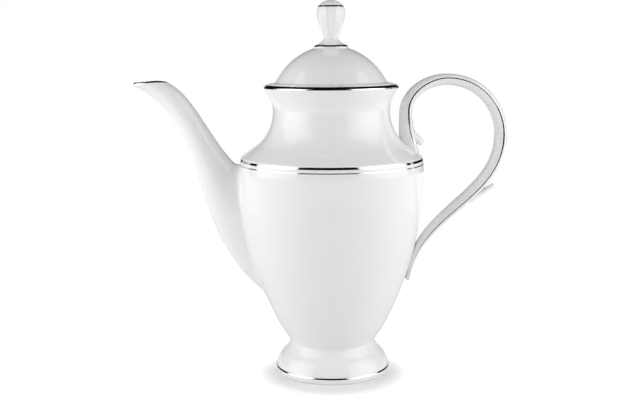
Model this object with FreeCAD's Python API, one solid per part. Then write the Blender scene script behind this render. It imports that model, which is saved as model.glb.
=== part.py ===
import FreeCAD, Part
import math
import os

V = FreeCAD.Vector

# Porcelain coffee pot with platinum bands, in millimetres.
# The pot stands on Z = 0 with its own axis on Z. The spout points along -X and the handle along +X.

# Heights, stacked up from the table
foot_height = 22.5
urn_height = 125.5
shoulder_height = 9.0
neck_height = 32.8
flare_height = 18.4

# Radii of the turned body
foot_radius = 41.5
waist_radius = 30.2
belly_radius = 66.0
shoulder_tuck = 1.1
neck_radius = 41.8
rim_reach = 6.2

# How the body's curves lean where they start, where their two arcs meet and where they end
waist_flare_angle = 37.9
urn_bend_angle = 26.1
neck_slope_angle = 35.3
neck_bend_angle = 36.0
lip_bend_angle = 27.7
lip_angle = 30.0
rim_round = 0.4

# Walls
body_wall = 3.2
floor_thickness = 4.5
foot_wall = 4.0
spout_wall = 2.6
lid_wall = 3.0

# Foot
foot_edge_height = 6.4
foot_base_edge = 3.2
foot_base_tuck = 1.1
foot_step_drop = 6.3
foot_step_reach = 4.4
foot_skirt_lift = 14.9
foot_bend_drop = 2.2

# Lid and its seat in the mouth
seat_depth = 1.6
lip_width = 3.9
flange_thickness = 2.6
flange_round = 0.3
seat_clearance = 0.5
collar_clearance = 0.7
collar_depth = 11.0
collar_wall = 2.6
flange_step = 2.4
dome_height = 24.4
dome_top_angle = 12.0
dome_bend_angle = 55.3
dome_side_angle = 57.0
dome_inside_angle = 78.0

# Knob
knob_base_radius = 12.2
knob_base_thickness = 1.9
knob_stem_radius = 5.3
knob_stem_height = 8.2
knob_flare_rise = 1.4
knob_flare_reach = 1.4
knob_flare_edge = 0.5
knob_bulb_radius = 10.4
knob_bulb_taper = 1.9
knob_bulb_height = 7.2
knob_swell_height = 5.2
knob_shoulder_height = 7.8
knob_crown_radius = 9.4
knob_crown_height = 5.4
knob_crown_pull = 6.4
knob_ledge = 0.35
knob_flutes = 16
knob_flute_depth = 0.45

# Spout
spout_tip_reach = 140.5
spout_mouth_length = 25.3
spout_tip_rise = 1.4
spout_mouth_rise = 2.2
spout_root_rise = 30.5
spout_root_sink = 4.0
spout_root_drop = 7.0
spout_tip_width = 15.0
spout_neck_width = 17.0
spout_root_width = 28.0
spout_lip_reach = 58.5
spout_lip_fall = 28.2
spout_low_reach = 65.1
spout_low_rise = 43.5
spout_top_reach = 25.3
spout_top_fall = 14.2
spout_high_reach = 35.2
spout_high_fall = 3.7
spout_top_lead = 0.8
spout_sections = 5
pour_hole_diameter = 18.0

# Handle
handle_gap = 6.1
handle_drop = 20.0
handle_span = 67.4
handle_crest_x = 28.3
handle_crest_rise = 3.3
handle_back_drop = 36.5
handle_rise_pull = 17.0
handle_crest_pull = 12.0
handle_fall_pull = 26.2
handle_back_pull = 18.1
handle_run_pull = 46.8
handle_tail_pull = 50.8
handle_tail_angle = 7.4
handle_tail_rise = 45.5
handle_tail_stand = 2.4
handle_root_drop = 1.0
handle_root_inset = 9.6
handle_root_pull = 8.0
handle_depth = 13.0
handle_thickness = 10.2
handle_root_thickness = 16.5
handle_root_depth = 11.6
handle_crest_thickness = 9.2
handle_tail_thickness = 4.0
handle_fullness = 0.7
root_flare = 0.4
tail_taper = 3
root_stations = 2
rise_stations = 3
fall_stations = 3
tail_stations = 5
root_arris = -0.44
crest_arris = 0.1
back_arris = 0.6
tail_arris = 0.7

# Leaf inside the handle's root and thumb spur on its back
leaf_inset = 1.3
leaf_start_drop = 4.0
leaf_reach = 12.5
leaf_tip_drop = 22.2
leaf_pull = 9.0
leaf_tip_pull = 7.0
leaf_tip_angle = 142.0
leaf_thickness = 6.0
leaf_tip_thickness = 3.6
spur_start = 0.44
spur_inset = 3.2
spur_angle = 32.5
spur_length = 21.0
spur_thickness = 4.6
spur_tip_thickness = 3.6
spur_depth = 11.0
spur_tip_depth = 7.0
spur_sections = 3

# Platinum bands, laid into the glaze
band_depth = 0.6
rim_band_width = 2.4
shoulder_band_width = 2.4
shoulder_line_width = 0.8
shoulder_line_gap = 2.0
foot_band_width = 2.4
spout_band_width = 1.2
handle_line_depth = 0.22
lid_band_width = 0.9
knob_base_band_width = 0.8
knob_crown_band_width = 0.9

# How far the cutting shapes run past what they cut, and how close two points count as one
overshoot = 5.0
same_point = 0.000001

# Levels and radii that follow from the sizes above
waist_level = foot_height
belly_level = waist_level + urn_height
shoulder_level = belly_level + shoulder_height
neck_level = shoulder_level + neck_height
rim_level = neck_level + flare_height
seat_level = rim_level - seat_depth
dome_level = seat_level + flange_thickness
knob_level = dome_level + dome_height
bulb_level = knob_level + knob_stem_height + knob_bulb_height
knob_crown_level = bulb_level + knob_swell_height + knob_shoulder_height
throat_radius = neck_radius - body_wall
shoulder_radius = belly_radius - shoulder_tuck
rim_radius = neck_radius + rim_reach
seat_radius = rim_radius - lip_width
flange_radius = seat_radius - seat_clearance
foot_step_radius = waist_radius + foot_step_reach


def polar(length, angle):
    """A step of the given length, at an angle above the X axis, in the XZ plane."""
    return V(length * math.cos(math.radians(angle)), 0, length * math.sin(math.radians(angle)))


def bezier_edge(points):
    curve = Part.BezierCurve()
    curve.setPoles(points)
    return curve.toShape()


def bezier_point(points, t):
    """The place at t along a Bezier curve, by repeated halving of its control lines."""
    while len(points) > 1:
        points = [a + (b - a) * t for a, b in zip(points, points[1:])]
    return points[0]


def bezier_slope(points, t):
    steps = [b - a for a, b in zip(points, points[1:])]
    return bezier_point(steps, t).normalize()


def arc_points(start, start_angle, end_angle, radius, offset):
    """Start, middle and end of an arc from one angle to another, moved to its left by an offset."""
    points = []
    for angle in (start_angle, (start_angle + end_angle) / 2, end_angle):
        here = start + polar(radius, angle - 90) - polar(radius, start_angle - 90)
        points.append(here + polar(offset, angle + 90))
    return tuple(points)


def two_arcs(start, start_angle, end, end_angle, join_angle, offset=0):
    """Two arcs that join smoothly, with given ends and angles, moved to their left by an offset."""
    way = end - start
    first = polar(1, join_angle - 90) - polar(1, start_angle - 90)
    second = polar(1, end_angle - 90) - polar(1, join_angle - 90)
    cross = first.x * second.z - first.z * second.x
    first_radius = (way.x * second.z - way.z * second.x) / cross
    second_radius = (first.x * way.z - first.z * way.x) / cross
    return [
        arc_points(start, start_angle, join_angle, first_radius, offset),
        arc_points(start + first * first_radius, join_angle, end_angle, second_radius, offset),
    ]


def tangent_arc(start, start_angle, end):
    """One arc that leaves its start at a given angle."""
    chord = end - start
    turn = 2 * (math.degrees(math.atan2(chord.z, chord.x)) - start_angle)
    radius = chord.Length / (2 * math.sin(math.radians(turn / 2)))
    return arc_points(start, start_angle, start_angle + turn, radius, 0)


def edge_round(corner, radius):
    """A quarter round on an upper outer edge, from its side to its top."""
    return arc_points(corner - V(0, 0, radius), 90, 180, radius, 0)


def turned(outline):
    """A solid turned about Z from points, arcs (tuples) and Bezier curves (lists) round its half section."""
    edges = []
    first = None
    last = None
    for piece in outline:
        points = [piece] if isinstance(piece, V) else piece
        if last is None:
            first = points[0]
        elif (points[0] - last).Length > same_point:
            edges.append(Part.makeLine(last, points[0]))
        if isinstance(piece, tuple):
            edges.append(Part.Arc(*piece).toShape())
        elif isinstance(piece, list):
            edges.append(bezier_edge(piece))
        last = points[-1]
    edges.append(Part.makeLine(last, first))
    return Part.Face(Part.Wire(edges)).revolve(V(0, 0, 0), V(0, 0, 1), 360)


def ring(inner, outer, bottom, top):
    """A plain ring about Z, used to lay a band into a turned piece."""
    return turned([V(inner, 0, bottom), V(outer, 0, bottom), V(outer, 0, top), V(inner, 0, top)])


def inlay(piece, tool):
    """Part a band from its piece, so the two share their faces."""
    return piece.cut(tool), piece.common(tool)


# Corners of the turned body, from the waist up to the lip
waist_point = V(waist_radius, 0, waist_level)
belly_point = V(belly_radius, 0, belly_level)
shoulder_point = V(shoulder_radius, 0, shoulder_level)
neck_point = V(neck_radius, 0, neck_level)
lip_point = V(rim_radius, 0, rim_level - rim_band_width)


def urn_arcs(offset=0):
    return two_arcs(waist_point, 90 - waist_flare_angle, belly_point, 90, 90 - urn_bend_angle, offset)


def neck_arcs(offset=0):
    return two_arcs(shoulder_point, 180 - neck_slope_angle, neck_point, 90, 180 - neck_bend_angle, offset)


def make_body_outside():
    """The whole outside of the body, solid within."""
    shoulder = tangent_arc(belly_point, 90, shoulder_point)
    flare = two_arcs(neck_point, 90, lip_point, 90 - lip_angle, 90 - lip_bend_angle)
    rim = edge_round(V(rim_radius, 0, rim_level), rim_round)
    outline = urn_arcs() + [shoulder] + neck_arcs() + flare + [rim]
    return turned([V(0, 0, waist_level)] + outline + [V(0, 0, rim_level)])


def make_cavity():
    """The space inside: urn and neck beside their outer curves, then the throat and the lid's seat."""
    inner_urn = urn_arcs(body_wall)
    throat_top = V(throat_radius, 0, rim_level + overshoot)
    floor_middle = V(0, 0, inner_urn[0][0].z)
    space = turned([floor_middle] + inner_urn + neck_arcs(body_wall) + [throat_top, V(0, 0, throat_top.z)])
    floor = ring(0, belly_radius, 0, waist_level + floor_thickness)
    seat = ring(0, seat_radius, seat_level, rim_level + overshoot)
    return space.cut(floor).fuse(seat)


body_outside = make_body_outside()


def body_radius(level):
    """Outside radius of the body at a level."""
    return body_outside.slice(V(0, 0, 1), level)[0].BoundBox.XMax


def make_pot_body():
    """The hollow body, with one round port into the spout."""
    hole_level = (spout_low.z + spout_high.z) / 2
    hole = Part.makeCylinder(pour_hole_diameter / 2, belly_radius, V(0, 0, hole_level), V(-1, 0, 0))
    return body_outside.cut(make_cavity()).cut(hole)


def make_pedestal_foot():
    """A hollow foot that spreads from the waist by way of a step to an upright edge.

    The skirt leaves the step flatter than its fall from end to end, and its two arcs meet a little steeper."""
    edge_top = V(foot_radius, 0, foot_edge_height)
    step = V(foot_step_radius, 0, waist_level - foot_step_drop)
    fall = math.degrees(math.atan2(edge_top.z - step.z, edge_top.x - step.x))
    skirt = two_arcs(step, fall + foot_skirt_lift, edge_top, -90, fall - foot_bend_drop)
    base_edge = V(foot_radius, 0, foot_base_edge)
    base = V(foot_radius - foot_base_tuck, 0, 0)
    wall = V(foot_wall, 0, 0)
    inside = [base - wall, base_edge - wall, step - wall, waist_point - wall]
    return turned([waist_point] + skirt + [base_edge, base] + inside)


def oval(centre, half_along, half_across):
    """A closed oval from its centre and its two half axes."""
    normal = half_along.cross(half_across).normalize()
    matrix = FreeCAD.Matrix(
        half_along.x, half_across.x, normal.x, centre.x,
        half_along.y, half_across.y, normal.y, centre.y,
        half_along.z, half_across.z, normal.z, centre.z,
        0, 0, 0, 1)
    return Part.Wire(Part.Circle().toShape().transformGeometry(matrix).Edges)


# The spout's lower and upper edges, from the tip down into the body
root_level = waist_level + spout_root_rise
root_x = spout_root_sink - body_radius(root_level)
spout_tip = V(-spout_tip_reach, 0, rim_level + spout_tip_rise)
spout_heel = spout_tip + V(spout_mouth_length, 0, spout_mouth_rise)
spout_low = V(root_x, 0, root_level)
spout_high = V(root_x, 0, belly_level - spout_root_drop)
low_edge = [
    spout_tip,
    spout_tip + V(spout_lip_reach, 0, -spout_lip_fall),
    spout_low + V(-spout_low_reach, 0, spout_low_rise),
    spout_low,
]
high_edge = [
    spout_heel,
    spout_heel + V(spout_top_reach, 0, -spout_top_fall),
    spout_high + V(-spout_high_reach, 0, -spout_high_fall),
    spout_high,
]


def spout_width(t):
    """Full width of the spout, widening from the tip by way of its neck to the root."""
    widths = [V(width, 0, 0) for width in (spout_tip_width, spout_neck_width, spout_root_width)]
    return bezier_point(widths, t).x


def spout_section(t, wall):
    """The oval across the spout at t, drawn in by a wall thickness."""
    low = bezier_point(low_edge, t)
    high = bezier_point(high_edge, t ** spout_top_lead)
    half = (low - high) / 2
    half_along = half * ((half.Length - wall) / half.Length)
    return oval((low + high) / 2, half_along, V(0, spout_width(t) / 2 - wall, 0))


def spout_loft(wall):
    wires = [spout_section(step / spout_sections, wall) for step in range(spout_sections + 1)]
    return Part.makeLoft(wires, True, False)


def mouth_normal():
    along = (spout_heel - spout_tip).normalize()
    return V(-along.z, 0, along.x)


def make_spout():
    """A swan-neck tube, trimmed to the body, with its mouth cut on a slant."""
    mouth = Part.Face(spout_section(0, spout_wall)).extrude(mouth_normal() * overshoot)
    bore = spout_loft(spout_wall).fuse(mouth)
    return spout_loft(0).cut(bore).cut(body_outside)


def make_spout_band_tool():
    slab = Part.makeBox(
        2 * spout_mouth_length, 2 * spout_root_width, spout_band_width + overshoot,
        V(-spout_mouth_length / 2, -spout_root_width, -spout_band_width))
    tilt = math.degrees(math.atan2(spout_mouth_rise, spout_mouth_length))
    slab.rotate(V(0, 0, 0), V(0, 1, 0), -tilt)
    slab.translate(spout_tip)
    return slab


# The handle's middle line, from its root inside the shoulder over the crest and down to its tail on the urn
handle_left = V(neck_radius + handle_gap + handle_thickness / 2, 0, rim_level - handle_drop)
handle_crest = V(handle_left.x + handle_crest_x, 0, rim_level + handle_crest_rise)
handle_back = V(handle_left.x + handle_span, 0, rim_level - handle_back_drop)
tail_level = waist_level + handle_tail_rise
handle_tail = V(body_radius(tail_level) + handle_tail_stand, 0, tail_level)
handle_root_level = shoulder_level - handle_root_drop
handle_root = V(body_radius(handle_root_level) - handle_root_inset, 0, handle_root_level)
root_bend = (handle_root + handle_left) / 2
root_run = [handle_root, root_bend, handle_left - V(0, 0, handle_root_pull), handle_left]
rise_run = [handle_left, handle_left + V(0, 0, handle_rise_pull), handle_crest - V(handle_crest_pull, 0, 0),
            handle_crest]
fall_run = [handle_crest, handle_crest + V(handle_fall_pull, 0, 0), handle_back + V(0, 0, handle_back_pull),
            handle_back]
tail_run = [handle_back, handle_back - V(0, 0, handle_run_pull),
            handle_tail + polar(handle_tail_pull, 90 - handle_tail_angle), handle_tail]


def blend(start, end, t):
    return start + (end - start) * t


def strap_frame(run, t):
    """The place and the outward way of the strap at t along a run."""
    slope = bezier_slope(run, t)
    return bezier_point(run, t), V(-slope.z, 0, slope.x)


def strap_section(centre, outward, thickness, depth, arris):
    """A pointed oval across the strap, with a sharp arris front and back."""
    half = outward * (thickness / 2)
    side = V(0, depth / 2, 0)
    outer, inner = centre + half, centre - half
    front, back = centre + half * arris - side, centre + half * arris + side
    full = side * handle_fullness
    return Part.Wire([
        bezier_edge([outer, outer - full, front]),
        bezier_edge([front, inner - full, inner]),
        bezier_edge([inner, inner + full, back]),
        bezier_edge([back, outer + full, outer]),
    ])


def strap_stations():
    """Place, outward way, thickness, depth and arris offset along the whole strap."""
    root = (handle_root_thickness, handle_root_depth, root_arris)
    left = (handle_thickness, handle_depth, root_arris)
    crest = (handle_crest_thickness, handle_depth, crest_arris)
    back = (handle_thickness, handle_depth, back_arris)
    tail = (handle_tail_thickness, handle_depth, tail_arris)
    spans = [
        (root_run, root_stations, root, left, root_flare),
        (rise_run, rise_stations, left, crest, 1),
        (fall_run, fall_stations, crest, back, 1),
        (tail_run, tail_stations, back, tail, tail_taper),
    ]
    stations = [strap_frame(root_run, 0) + root]
    for run, count, start, end, taper in spans:
        for step in range(1, count + 1):
            t = step / count
            sizes = tuple(blend(a, b, t ** taper) for a, b in zip(start, end))
            stations.append(strap_frame(run, t) + sizes)
    return stations


def make_strap():
    wires = [strap_section(*station) for station in strap_stations()]
    return Part.makeLoft(wires, True, False)


def make_spur(run, start_thickness, tip_thickness):
    """A small leaf that leaves the strap along a run and thins to a free tip."""
    wires = []
    for step in range(spur_sections + 1):
        t = step / spur_sections
        centre, outward = strap_frame(run, t)
        thickness = blend(start_thickness, tip_thickness, t)
        depth = blend(spur_depth, spur_tip_depth, t)
        wires.append(strap_section(centre, outward, thickness, depth, 0))
    return Part.makeLoft(wires, True, False)


def make_handle():
    leaf_root = handle_left + V(leaf_inset, 0, -leaf_start_drop)
    leaf_tip = handle_left + V(leaf_reach, 0, -leaf_tip_drop)
    leaf_bend = leaf_tip + polar(leaf_tip_pull, leaf_tip_angle)
    leaf_run = [leaf_root, leaf_root - V(0, 0, leaf_pull), leaf_bend, leaf_tip]
    middle, outward = strap_frame(tail_run, spur_start)
    spur_root = middle + outward * spur_inset
    spur_run = [spur_root, spur_root + polar(spur_length, spur_angle)]
    leaf = make_spur(leaf_run, leaf_thickness, leaf_tip_thickness)
    spur = make_spur(spur_run, spur_thickness, spur_tip_thickness)
    return make_strap().fuse(leaf).fuse(spur).cut(body_outside)


def make_handle_line_tool(side):
    """A slab that takes the strap's arris, front (side -1) or back (side 1)."""
    near = handle_depth / 2 - handle_line_depth
    slab = Part.makeBox(2 * spout_tip_reach, overshoot, 2 * rim_level, V(0, near, 0))
    return slab if side > 0 else slab.mirror(V(0, 0, 0), V(0, 1, 0))


def make_lid_dome():
    """A hollow dome with a flange that rests on the seat and a collar that hangs in the throat."""
    seat_edge = V(throat_radius - collar_clearance, 0, seat_level)
    collar_bottom = seat_level - collar_depth
    inner_collar = seat_edge.x - collar_wall
    dome_top = V(knob_base_radius, 0, knob_level)
    dome_foot = V(flange_radius - flange_step, 0, dome_level)
    dome = two_arcs(dome_top, -dome_top_angle, dome_foot, -dome_side_angle, -dome_bend_angle)
    flange = edge_round(V(flange_radius, 0, dome_level), flange_round)
    under_top = dome_top - V(0, 0, lid_wall)
    under_foot = V(inner_collar, 0, seat_level)
    under = two_arcs(under_top, -dome_top_angle, under_foot, -dome_inside_angle, -dome_bend_angle)
    collar = [V(inner_collar, 0, collar_bottom), V(seat_edge.x, 0, collar_bottom), seat_edge]
    outside = [V(flange_radius, 0, seat_level), flange] + [arc[::-1] for arc in dome[::-1]]
    return turned([V(0, 0, under_top.z)] + under + collar + outside + [V(0, 0, knob_level)])


def fluted_ring(radius, level, depth):
    """A closed ring of arcs that meet in shallow valleys."""
    def place(turn, reach):
        flat = polar(reach, turn * 360 / knob_flutes)
        return V(flat.x, flat.z, level)

    arcs = []
    for flute in range(knob_flutes):
        start = place(flute, radius - depth)
        crest = place(flute + 1 / 2, radius)
        end = place(flute + 1, radius - depth)
        arcs.append(Part.Arc(start, crest, end).toShape())
    return Part.Wire(arcs)


def make_lid_knob():
    """A finial: plain base disc and stem, fluted bulb, plain domed crown."""
    base_top = knob_level + knob_base_thickness
    stem = V(knob_stem_radius, 0, knob_level + knob_stem_height)
    crown = V(knob_crown_radius, 0, knob_crown_level)
    top = crown.z + knob_crown_height
    foot = turned([
        V(0, 0, knob_level), V(knob_base_radius, 0, knob_level), V(knob_base_radius, 0, base_top),
        [V(knob_base_radius - knob_flare_edge, 0, base_top),
         V(knob_stem_radius + knob_flare_reach, 0, base_top + knob_flare_rise), stem],
        V(0, 0, stem.z),
    ])
    bulb = Part.makeLoft([
        fluted_ring(knob_stem_radius - knob_ledge, stem.z, knob_flute_depth / 2),
        fluted_ring(knob_bulb_radius - knob_bulb_taper, bulb_level, knob_flute_depth),
        fluted_ring(knob_bulb_radius, bulb_level + knob_swell_height, knob_flute_depth),
        fluted_ring(knob_crown_radius - knob_ledge, crown.z, knob_flute_depth),
    ], True, False)
    dome = [crown + V(0, 0, knob_crown_band_width), V(knob_crown_pull, 0, top), V(0, 0, top)]
    cap = turned([V(0, 0, crown.z), crown, dome])
    return foot.fuse(bulb).fuse(cap).removeSplitter()


def body_pieces():
    """The body, parted at the foot of its shoulder band into urn and neck, with the bands laid in."""
    far = belly_radius + overshoot
    band_foot = shoulder_level - shoulder_band_width
    line_top = band_foot - shoulder_line_gap
    urn, neck = inlay(make_pot_body(), ring(0, far, band_foot, rim_level + overshoot))
    urn, shoulder_line = inlay(urn, ring(
        body_radius(line_top) - band_depth, far, line_top - shoulder_line_width, line_top))
    neck, shoulder_band = inlay(neck, ring(
        shoulder_radius - band_depth, far, band_foot, shoulder_level + overshoot))
    neck, rim_band = inlay(neck, ring(
        rim_radius - band_depth, far, rim_level - rim_band_width, rim_level + overshoot))
    return {"urn": urn, "neck": neck, "rim_band": rim_band,
            "shoulder_band": shoulder_band, "shoulder_line": shoulder_line}


def foot_pieces():
    foot, band = inlay(make_pedestal_foot(), ring(
        foot_radius - band_depth, foot_radius + overshoot,
        foot_edge_height - foot_band_width, foot_edge_height))
    return {"pedestal_foot": foot, "foot_band": band}


def spout_pieces():
    spout, band = inlay(make_spout(), make_spout_band_tool())
    return {"spout": spout, "spout_lip_band": band}


def handle_pieces():
    handle, front = inlay(make_handle(), make_handle_line_tool(-1))
    handle, back = inlay(handle, make_handle_line_tool(1))
    return {"handle": handle, "handle_line_front": front, "handle_line_back": back}


def lid_pieces():
    """The loose lid: dome and knob, each with its bands."""
    dome, edge_band = inlay(make_lid_dome(), ring(
        flange_radius - lid_band_width, flange_radius + overshoot,
        dome_level - band_depth, dome_level + overshoot))
    base_top = knob_level + knob_base_thickness
    knob, base_band = inlay(make_lid_knob(), ring(
        knob_base_radius - band_depth, knob_base_radius + overshoot,
        base_top - knob_base_band_width, base_top))
    knob, crown_band = inlay(knob, ring(
        knob_crown_radius - band_depth, knob_crown_radius + overshoot,
        knob_crown_level, knob_crown_level + knob_crown_band_width))
    return {"lid_dome": dome, "lid_edge_band": edge_band,
            "lid_knob": knob, "knob_base_band": base_band, "knob_crown_band": crown_band}


def main():
    os.makedirs("parts", exist_ok=True)
    pieces = {}
    pieces.update(body_pieces())
    pieces.update(foot_pieces())
    pieces.update(spout_pieces())
    pieces.update(handle_pieces())
    pieces.update(lid_pieces())
    for name, shape in pieces.items():
        if len(shape.Solids) != 1 or not shape.isValid():
            raise ValueError("%s is not one sound solid" % name)
        shape.Solids[0].exportStep("parts/" + name + ".step")


main()
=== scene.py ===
import math

import bmesh
import bpy
from mathutils import Matrix, Vector


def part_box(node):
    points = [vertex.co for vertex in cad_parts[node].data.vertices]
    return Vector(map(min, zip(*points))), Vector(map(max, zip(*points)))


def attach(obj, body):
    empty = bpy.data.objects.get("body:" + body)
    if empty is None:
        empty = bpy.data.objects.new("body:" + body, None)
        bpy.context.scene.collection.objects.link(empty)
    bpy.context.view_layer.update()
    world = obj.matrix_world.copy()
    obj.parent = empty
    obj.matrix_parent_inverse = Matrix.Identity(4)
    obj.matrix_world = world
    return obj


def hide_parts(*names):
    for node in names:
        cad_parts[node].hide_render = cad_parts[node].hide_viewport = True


bl_info = {
    "name": "Porcelain coffee pot",
    "version": (1, 0, 0),
    "blender": (4, 5, 0),
    "location": "3D View > Sidebar > Coffee pot",
    "description": "Builds a glazed coffee pot with platinum bands, and the studio that it stands in",
    "category": "Add Mesh",
}

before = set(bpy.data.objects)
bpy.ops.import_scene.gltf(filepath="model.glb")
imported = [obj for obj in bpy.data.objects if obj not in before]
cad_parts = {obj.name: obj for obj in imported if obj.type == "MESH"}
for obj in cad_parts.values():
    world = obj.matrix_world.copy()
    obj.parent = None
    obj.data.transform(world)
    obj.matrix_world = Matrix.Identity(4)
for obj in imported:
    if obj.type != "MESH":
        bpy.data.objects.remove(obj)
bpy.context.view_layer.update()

MM = 0.001
UP = math.pi / 2
FULL_TURN = 2 * math.pi
SAME_POINT = 0.000001
SHARP_TURN = math.radians(32)
TIP_TURN = math.radians(88)
FILM_WIDTH = 36.0
FLUTE_NAME = "flute_depth"
ACROSS_NAME = "across"

# How many steps a turn, a round or a run is divided into
TURN_STEPS = 192
PORT_STEPS = 128
FLUTE_STEPS = 20
ROUND_STEPS = 8
URN_STEPS = 30
CORNER_STEPS = 12
NECK_STEPS = 18
FLARE_STEPS = 10
SKIRT_STEPS = 12
DOME_STEPS = 24
UNDER_STEPS = 20
STEM_STEPS = 14
BULB_STEPS = 40
CROWN_STEPS = 16
ROOT_STEPS = 40
RISE_STEPS = 50
FALL_STEPS = 60
TAIL_STEPS = 110
LEAF_STEPS = 30
FACE_STEPS = 8
WIDE_BAND_STEPS = 16
FOOT_BAND_STEPS = 10
NARROW_BAND_STEPS = 6
LINE_RING_STEPS = 12
LINE_TAPER_STEPS = 6
CARD_STEPS = 24


def low(node, axis):
    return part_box(node)[0]["xyz".index(axis)]


def high(node, axis):
    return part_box(node)[1]["xyz".index(axis)]


# Properties

def length(label, tells, metres):
    return bpy.props.FloatProperty(
        name=label, description=tells, default=metres, precision=5, subtype="DISTANCE", unit="LENGTH")


def angle(label, tells, degrees):
    return bpy.props.FloatProperty(
        name=label, description=tells, default=math.radians(degrees), subtype="ANGLE", unit="ROTATION")


def number(label, tells, value):
    return bpy.props.FloatProperty(name=label, description=tells, default=value, precision=4)


def count(label, tells, value):
    return bpy.props.IntProperty(name=label, description=tells, default=value, min=1)


def colour(label, tells, value):
    return bpy.props.FloatVectorProperty(
        name=label, description=tells, default=value, size=3, min=0, max=1, subtype="COLOR")


class BodySizes(bpy.types.PropertyGroup):
    waist_level: length("Waist level", "Height of the join of foot and urn", high("pedestal_foot", "z"))
    belly_level: length("Belly level", "Height of the widest ring", 148.0 * MM)
    shoulder_level: length("Shoulder level", "Height of the shoulder's corner", 157.0 * MM)
    neck_level: length("Neck level", "Height of the narrowest ring", 189.8 * MM)
    rim_level: length("Rim level", "Height of the rim", high("rim_band", "z"))
    waist_radius: length("Waist radius", "Radius at the waist", 30.2 * MM)
    belly_radius: length("Belly radius", "Largest radius", high("urn", "x"))
    shoulder_radius: length("Shoulder radius", "Radius at the shoulder's corner", 64.9 * MM)
    neck_radius: length("Neck radius", "Radius at the narrowest ring", 41.8 * MM)
    rim_radius: length("Rim radius", "Radius of the rim", high("rim_band", "x"))
    waist_lean: angle("Waist lean", "Lean of the urn at its waist", 37.9)
    urn_lean: angle("Urn lean", "Lean where the urn's two arcs meet", 26.1)
    slope_angle: angle("Shoulder slope", "Slope of the shoulder at its corner", 35.3)
    slope_end: angle("Slope end", "Slope where the neck's two arcs meet", 36.0)
    lip_bend: angle("Lip bend", "Lean where the flare's two arcs meet", 27.7)
    lip_lean: angle("Lip lean", "Lean of the flare at the rim", 30.0)
    wall: length("Wall", "Thickness of the body", 3.2 * MM)
    floor: length("Floor", "Thickness of the bottom", 4.5 * MM)
    lip_width: length("Lip width", "Width of the rim's top", 3.9 * MM)
    seat_depth: length("Seat depth", "How deep the lid sits in the rim", 1.6 * MM)
    waist_fillet: length("Waist fillet", "Reach of the glaze in the crease at the waist", 1.6 * MM)
    shoulder_round: length("Shoulder round", "Reach of the round on the shoulder's corner", 0.8 * MM)
    rim_slope: length("Rim slope", "Height and width of the slope over the rim's outer edge", 1.5 * MM)
    rim_round: length("Rim round", "Reach of the round on that slope's edges", 0.3 * MM)
    edge_round: length("Edge round", "Reach of the round on the body's other edges", 0.6 * MM)
    port_diameter: length("Port diameter", "Hole from the urn into the spout", 18.0 * MM)
    port_level: length("Port level", "Height of that hole", 97.0 * MM)


class FootSizes(bpy.types.PropertyGroup):
    radius: length("Foot radius", "Radius of the foot's upright edge", high("foot_band", "x"))
    base_tuck: length("Base tuck", "How far the base draws in below the edge", 1.1 * MM)
    base_edge: length("Base edge", "Height where the draw-in starts", 3.2 * MM)
    edge_top: length("Edge top", "Height of the foot's edge", high("foot_band", "z") - 1.6 * MM)
    edge_lean: length("Edge lean", "How far the band on that edge leans in", 0.7 * MM)
    step_reach: length("Step reach", "How far the step stands out from the waist", 4.4 * MM)
    step_drop: length("Step drop", "How far the step lies below the waist", 6.3 * MM)
    skirt_lift: angle("Skirt lift", "How much flatter than its whole fall the skirt leaves the step", 24.0)
    skirt_end: angle("Skirt end", "How steeply the skirt comes down on the edge", 80.0)
    skirt_drop: angle("Skirt drop", "How much steeper than that fall its two arcs meet", 2.2)
    wall: length("Foot wall", "Thickness of the hollow foot", 4.0 * MM)
    step_round: length("Step round", "Reach of the round on the step", 1.4 * MM)
    edge_round: length("Foot edge round", "Reach of the round on the other edges", 0.7 * MM)


class LidSizes(bpy.types.PropertyGroup):
    flange_radius: length("Flange radius", "Radius of the lid's edge", high("lid_edge_band", "x"))
    flange_top: length("Flange top", "Height of the flange's top", high("lid_edge_band", "z"))
    flange_step: length("Flange step", "Flat left outside the dome", 3.2 * MM)
    dome_top: length("Dome top", "Height of the dome", high("lid_dome", "z"))
    top_angle: angle("Top angle", "Fall of the dome under the knob", 18.0)
    bend_angle: angle("Bend angle", "Fall where the dome's two arcs meet", 55.3)
    side_angle: angle("Side angle", "Fall of the dome at the flange", 57.0)
    inside_angle: angle("Inside angle", "Fall of the inside at the collar", 78.0)
    wall: length("Lid wall", "Thickness of the dome", 3.0 * MM)
    collar_gap: length("Collar gap", "Clearance of the collar in the throat", 0.7 * MM)
    collar_wall: length("Collar wall", "Thickness of the collar", 2.6 * MM)
    collar_foot: length("Collar foot", "Height of the collar's lower edge", low("lid_dome", "z"))
    edge_round: length("Lid edge round", "Reach of the round on its edges", 0.5 * MM)
    dome_fillet: length("Dome fillet", "Reach of the glaze where the dome meets the flange", 1.2 * MM)


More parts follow.
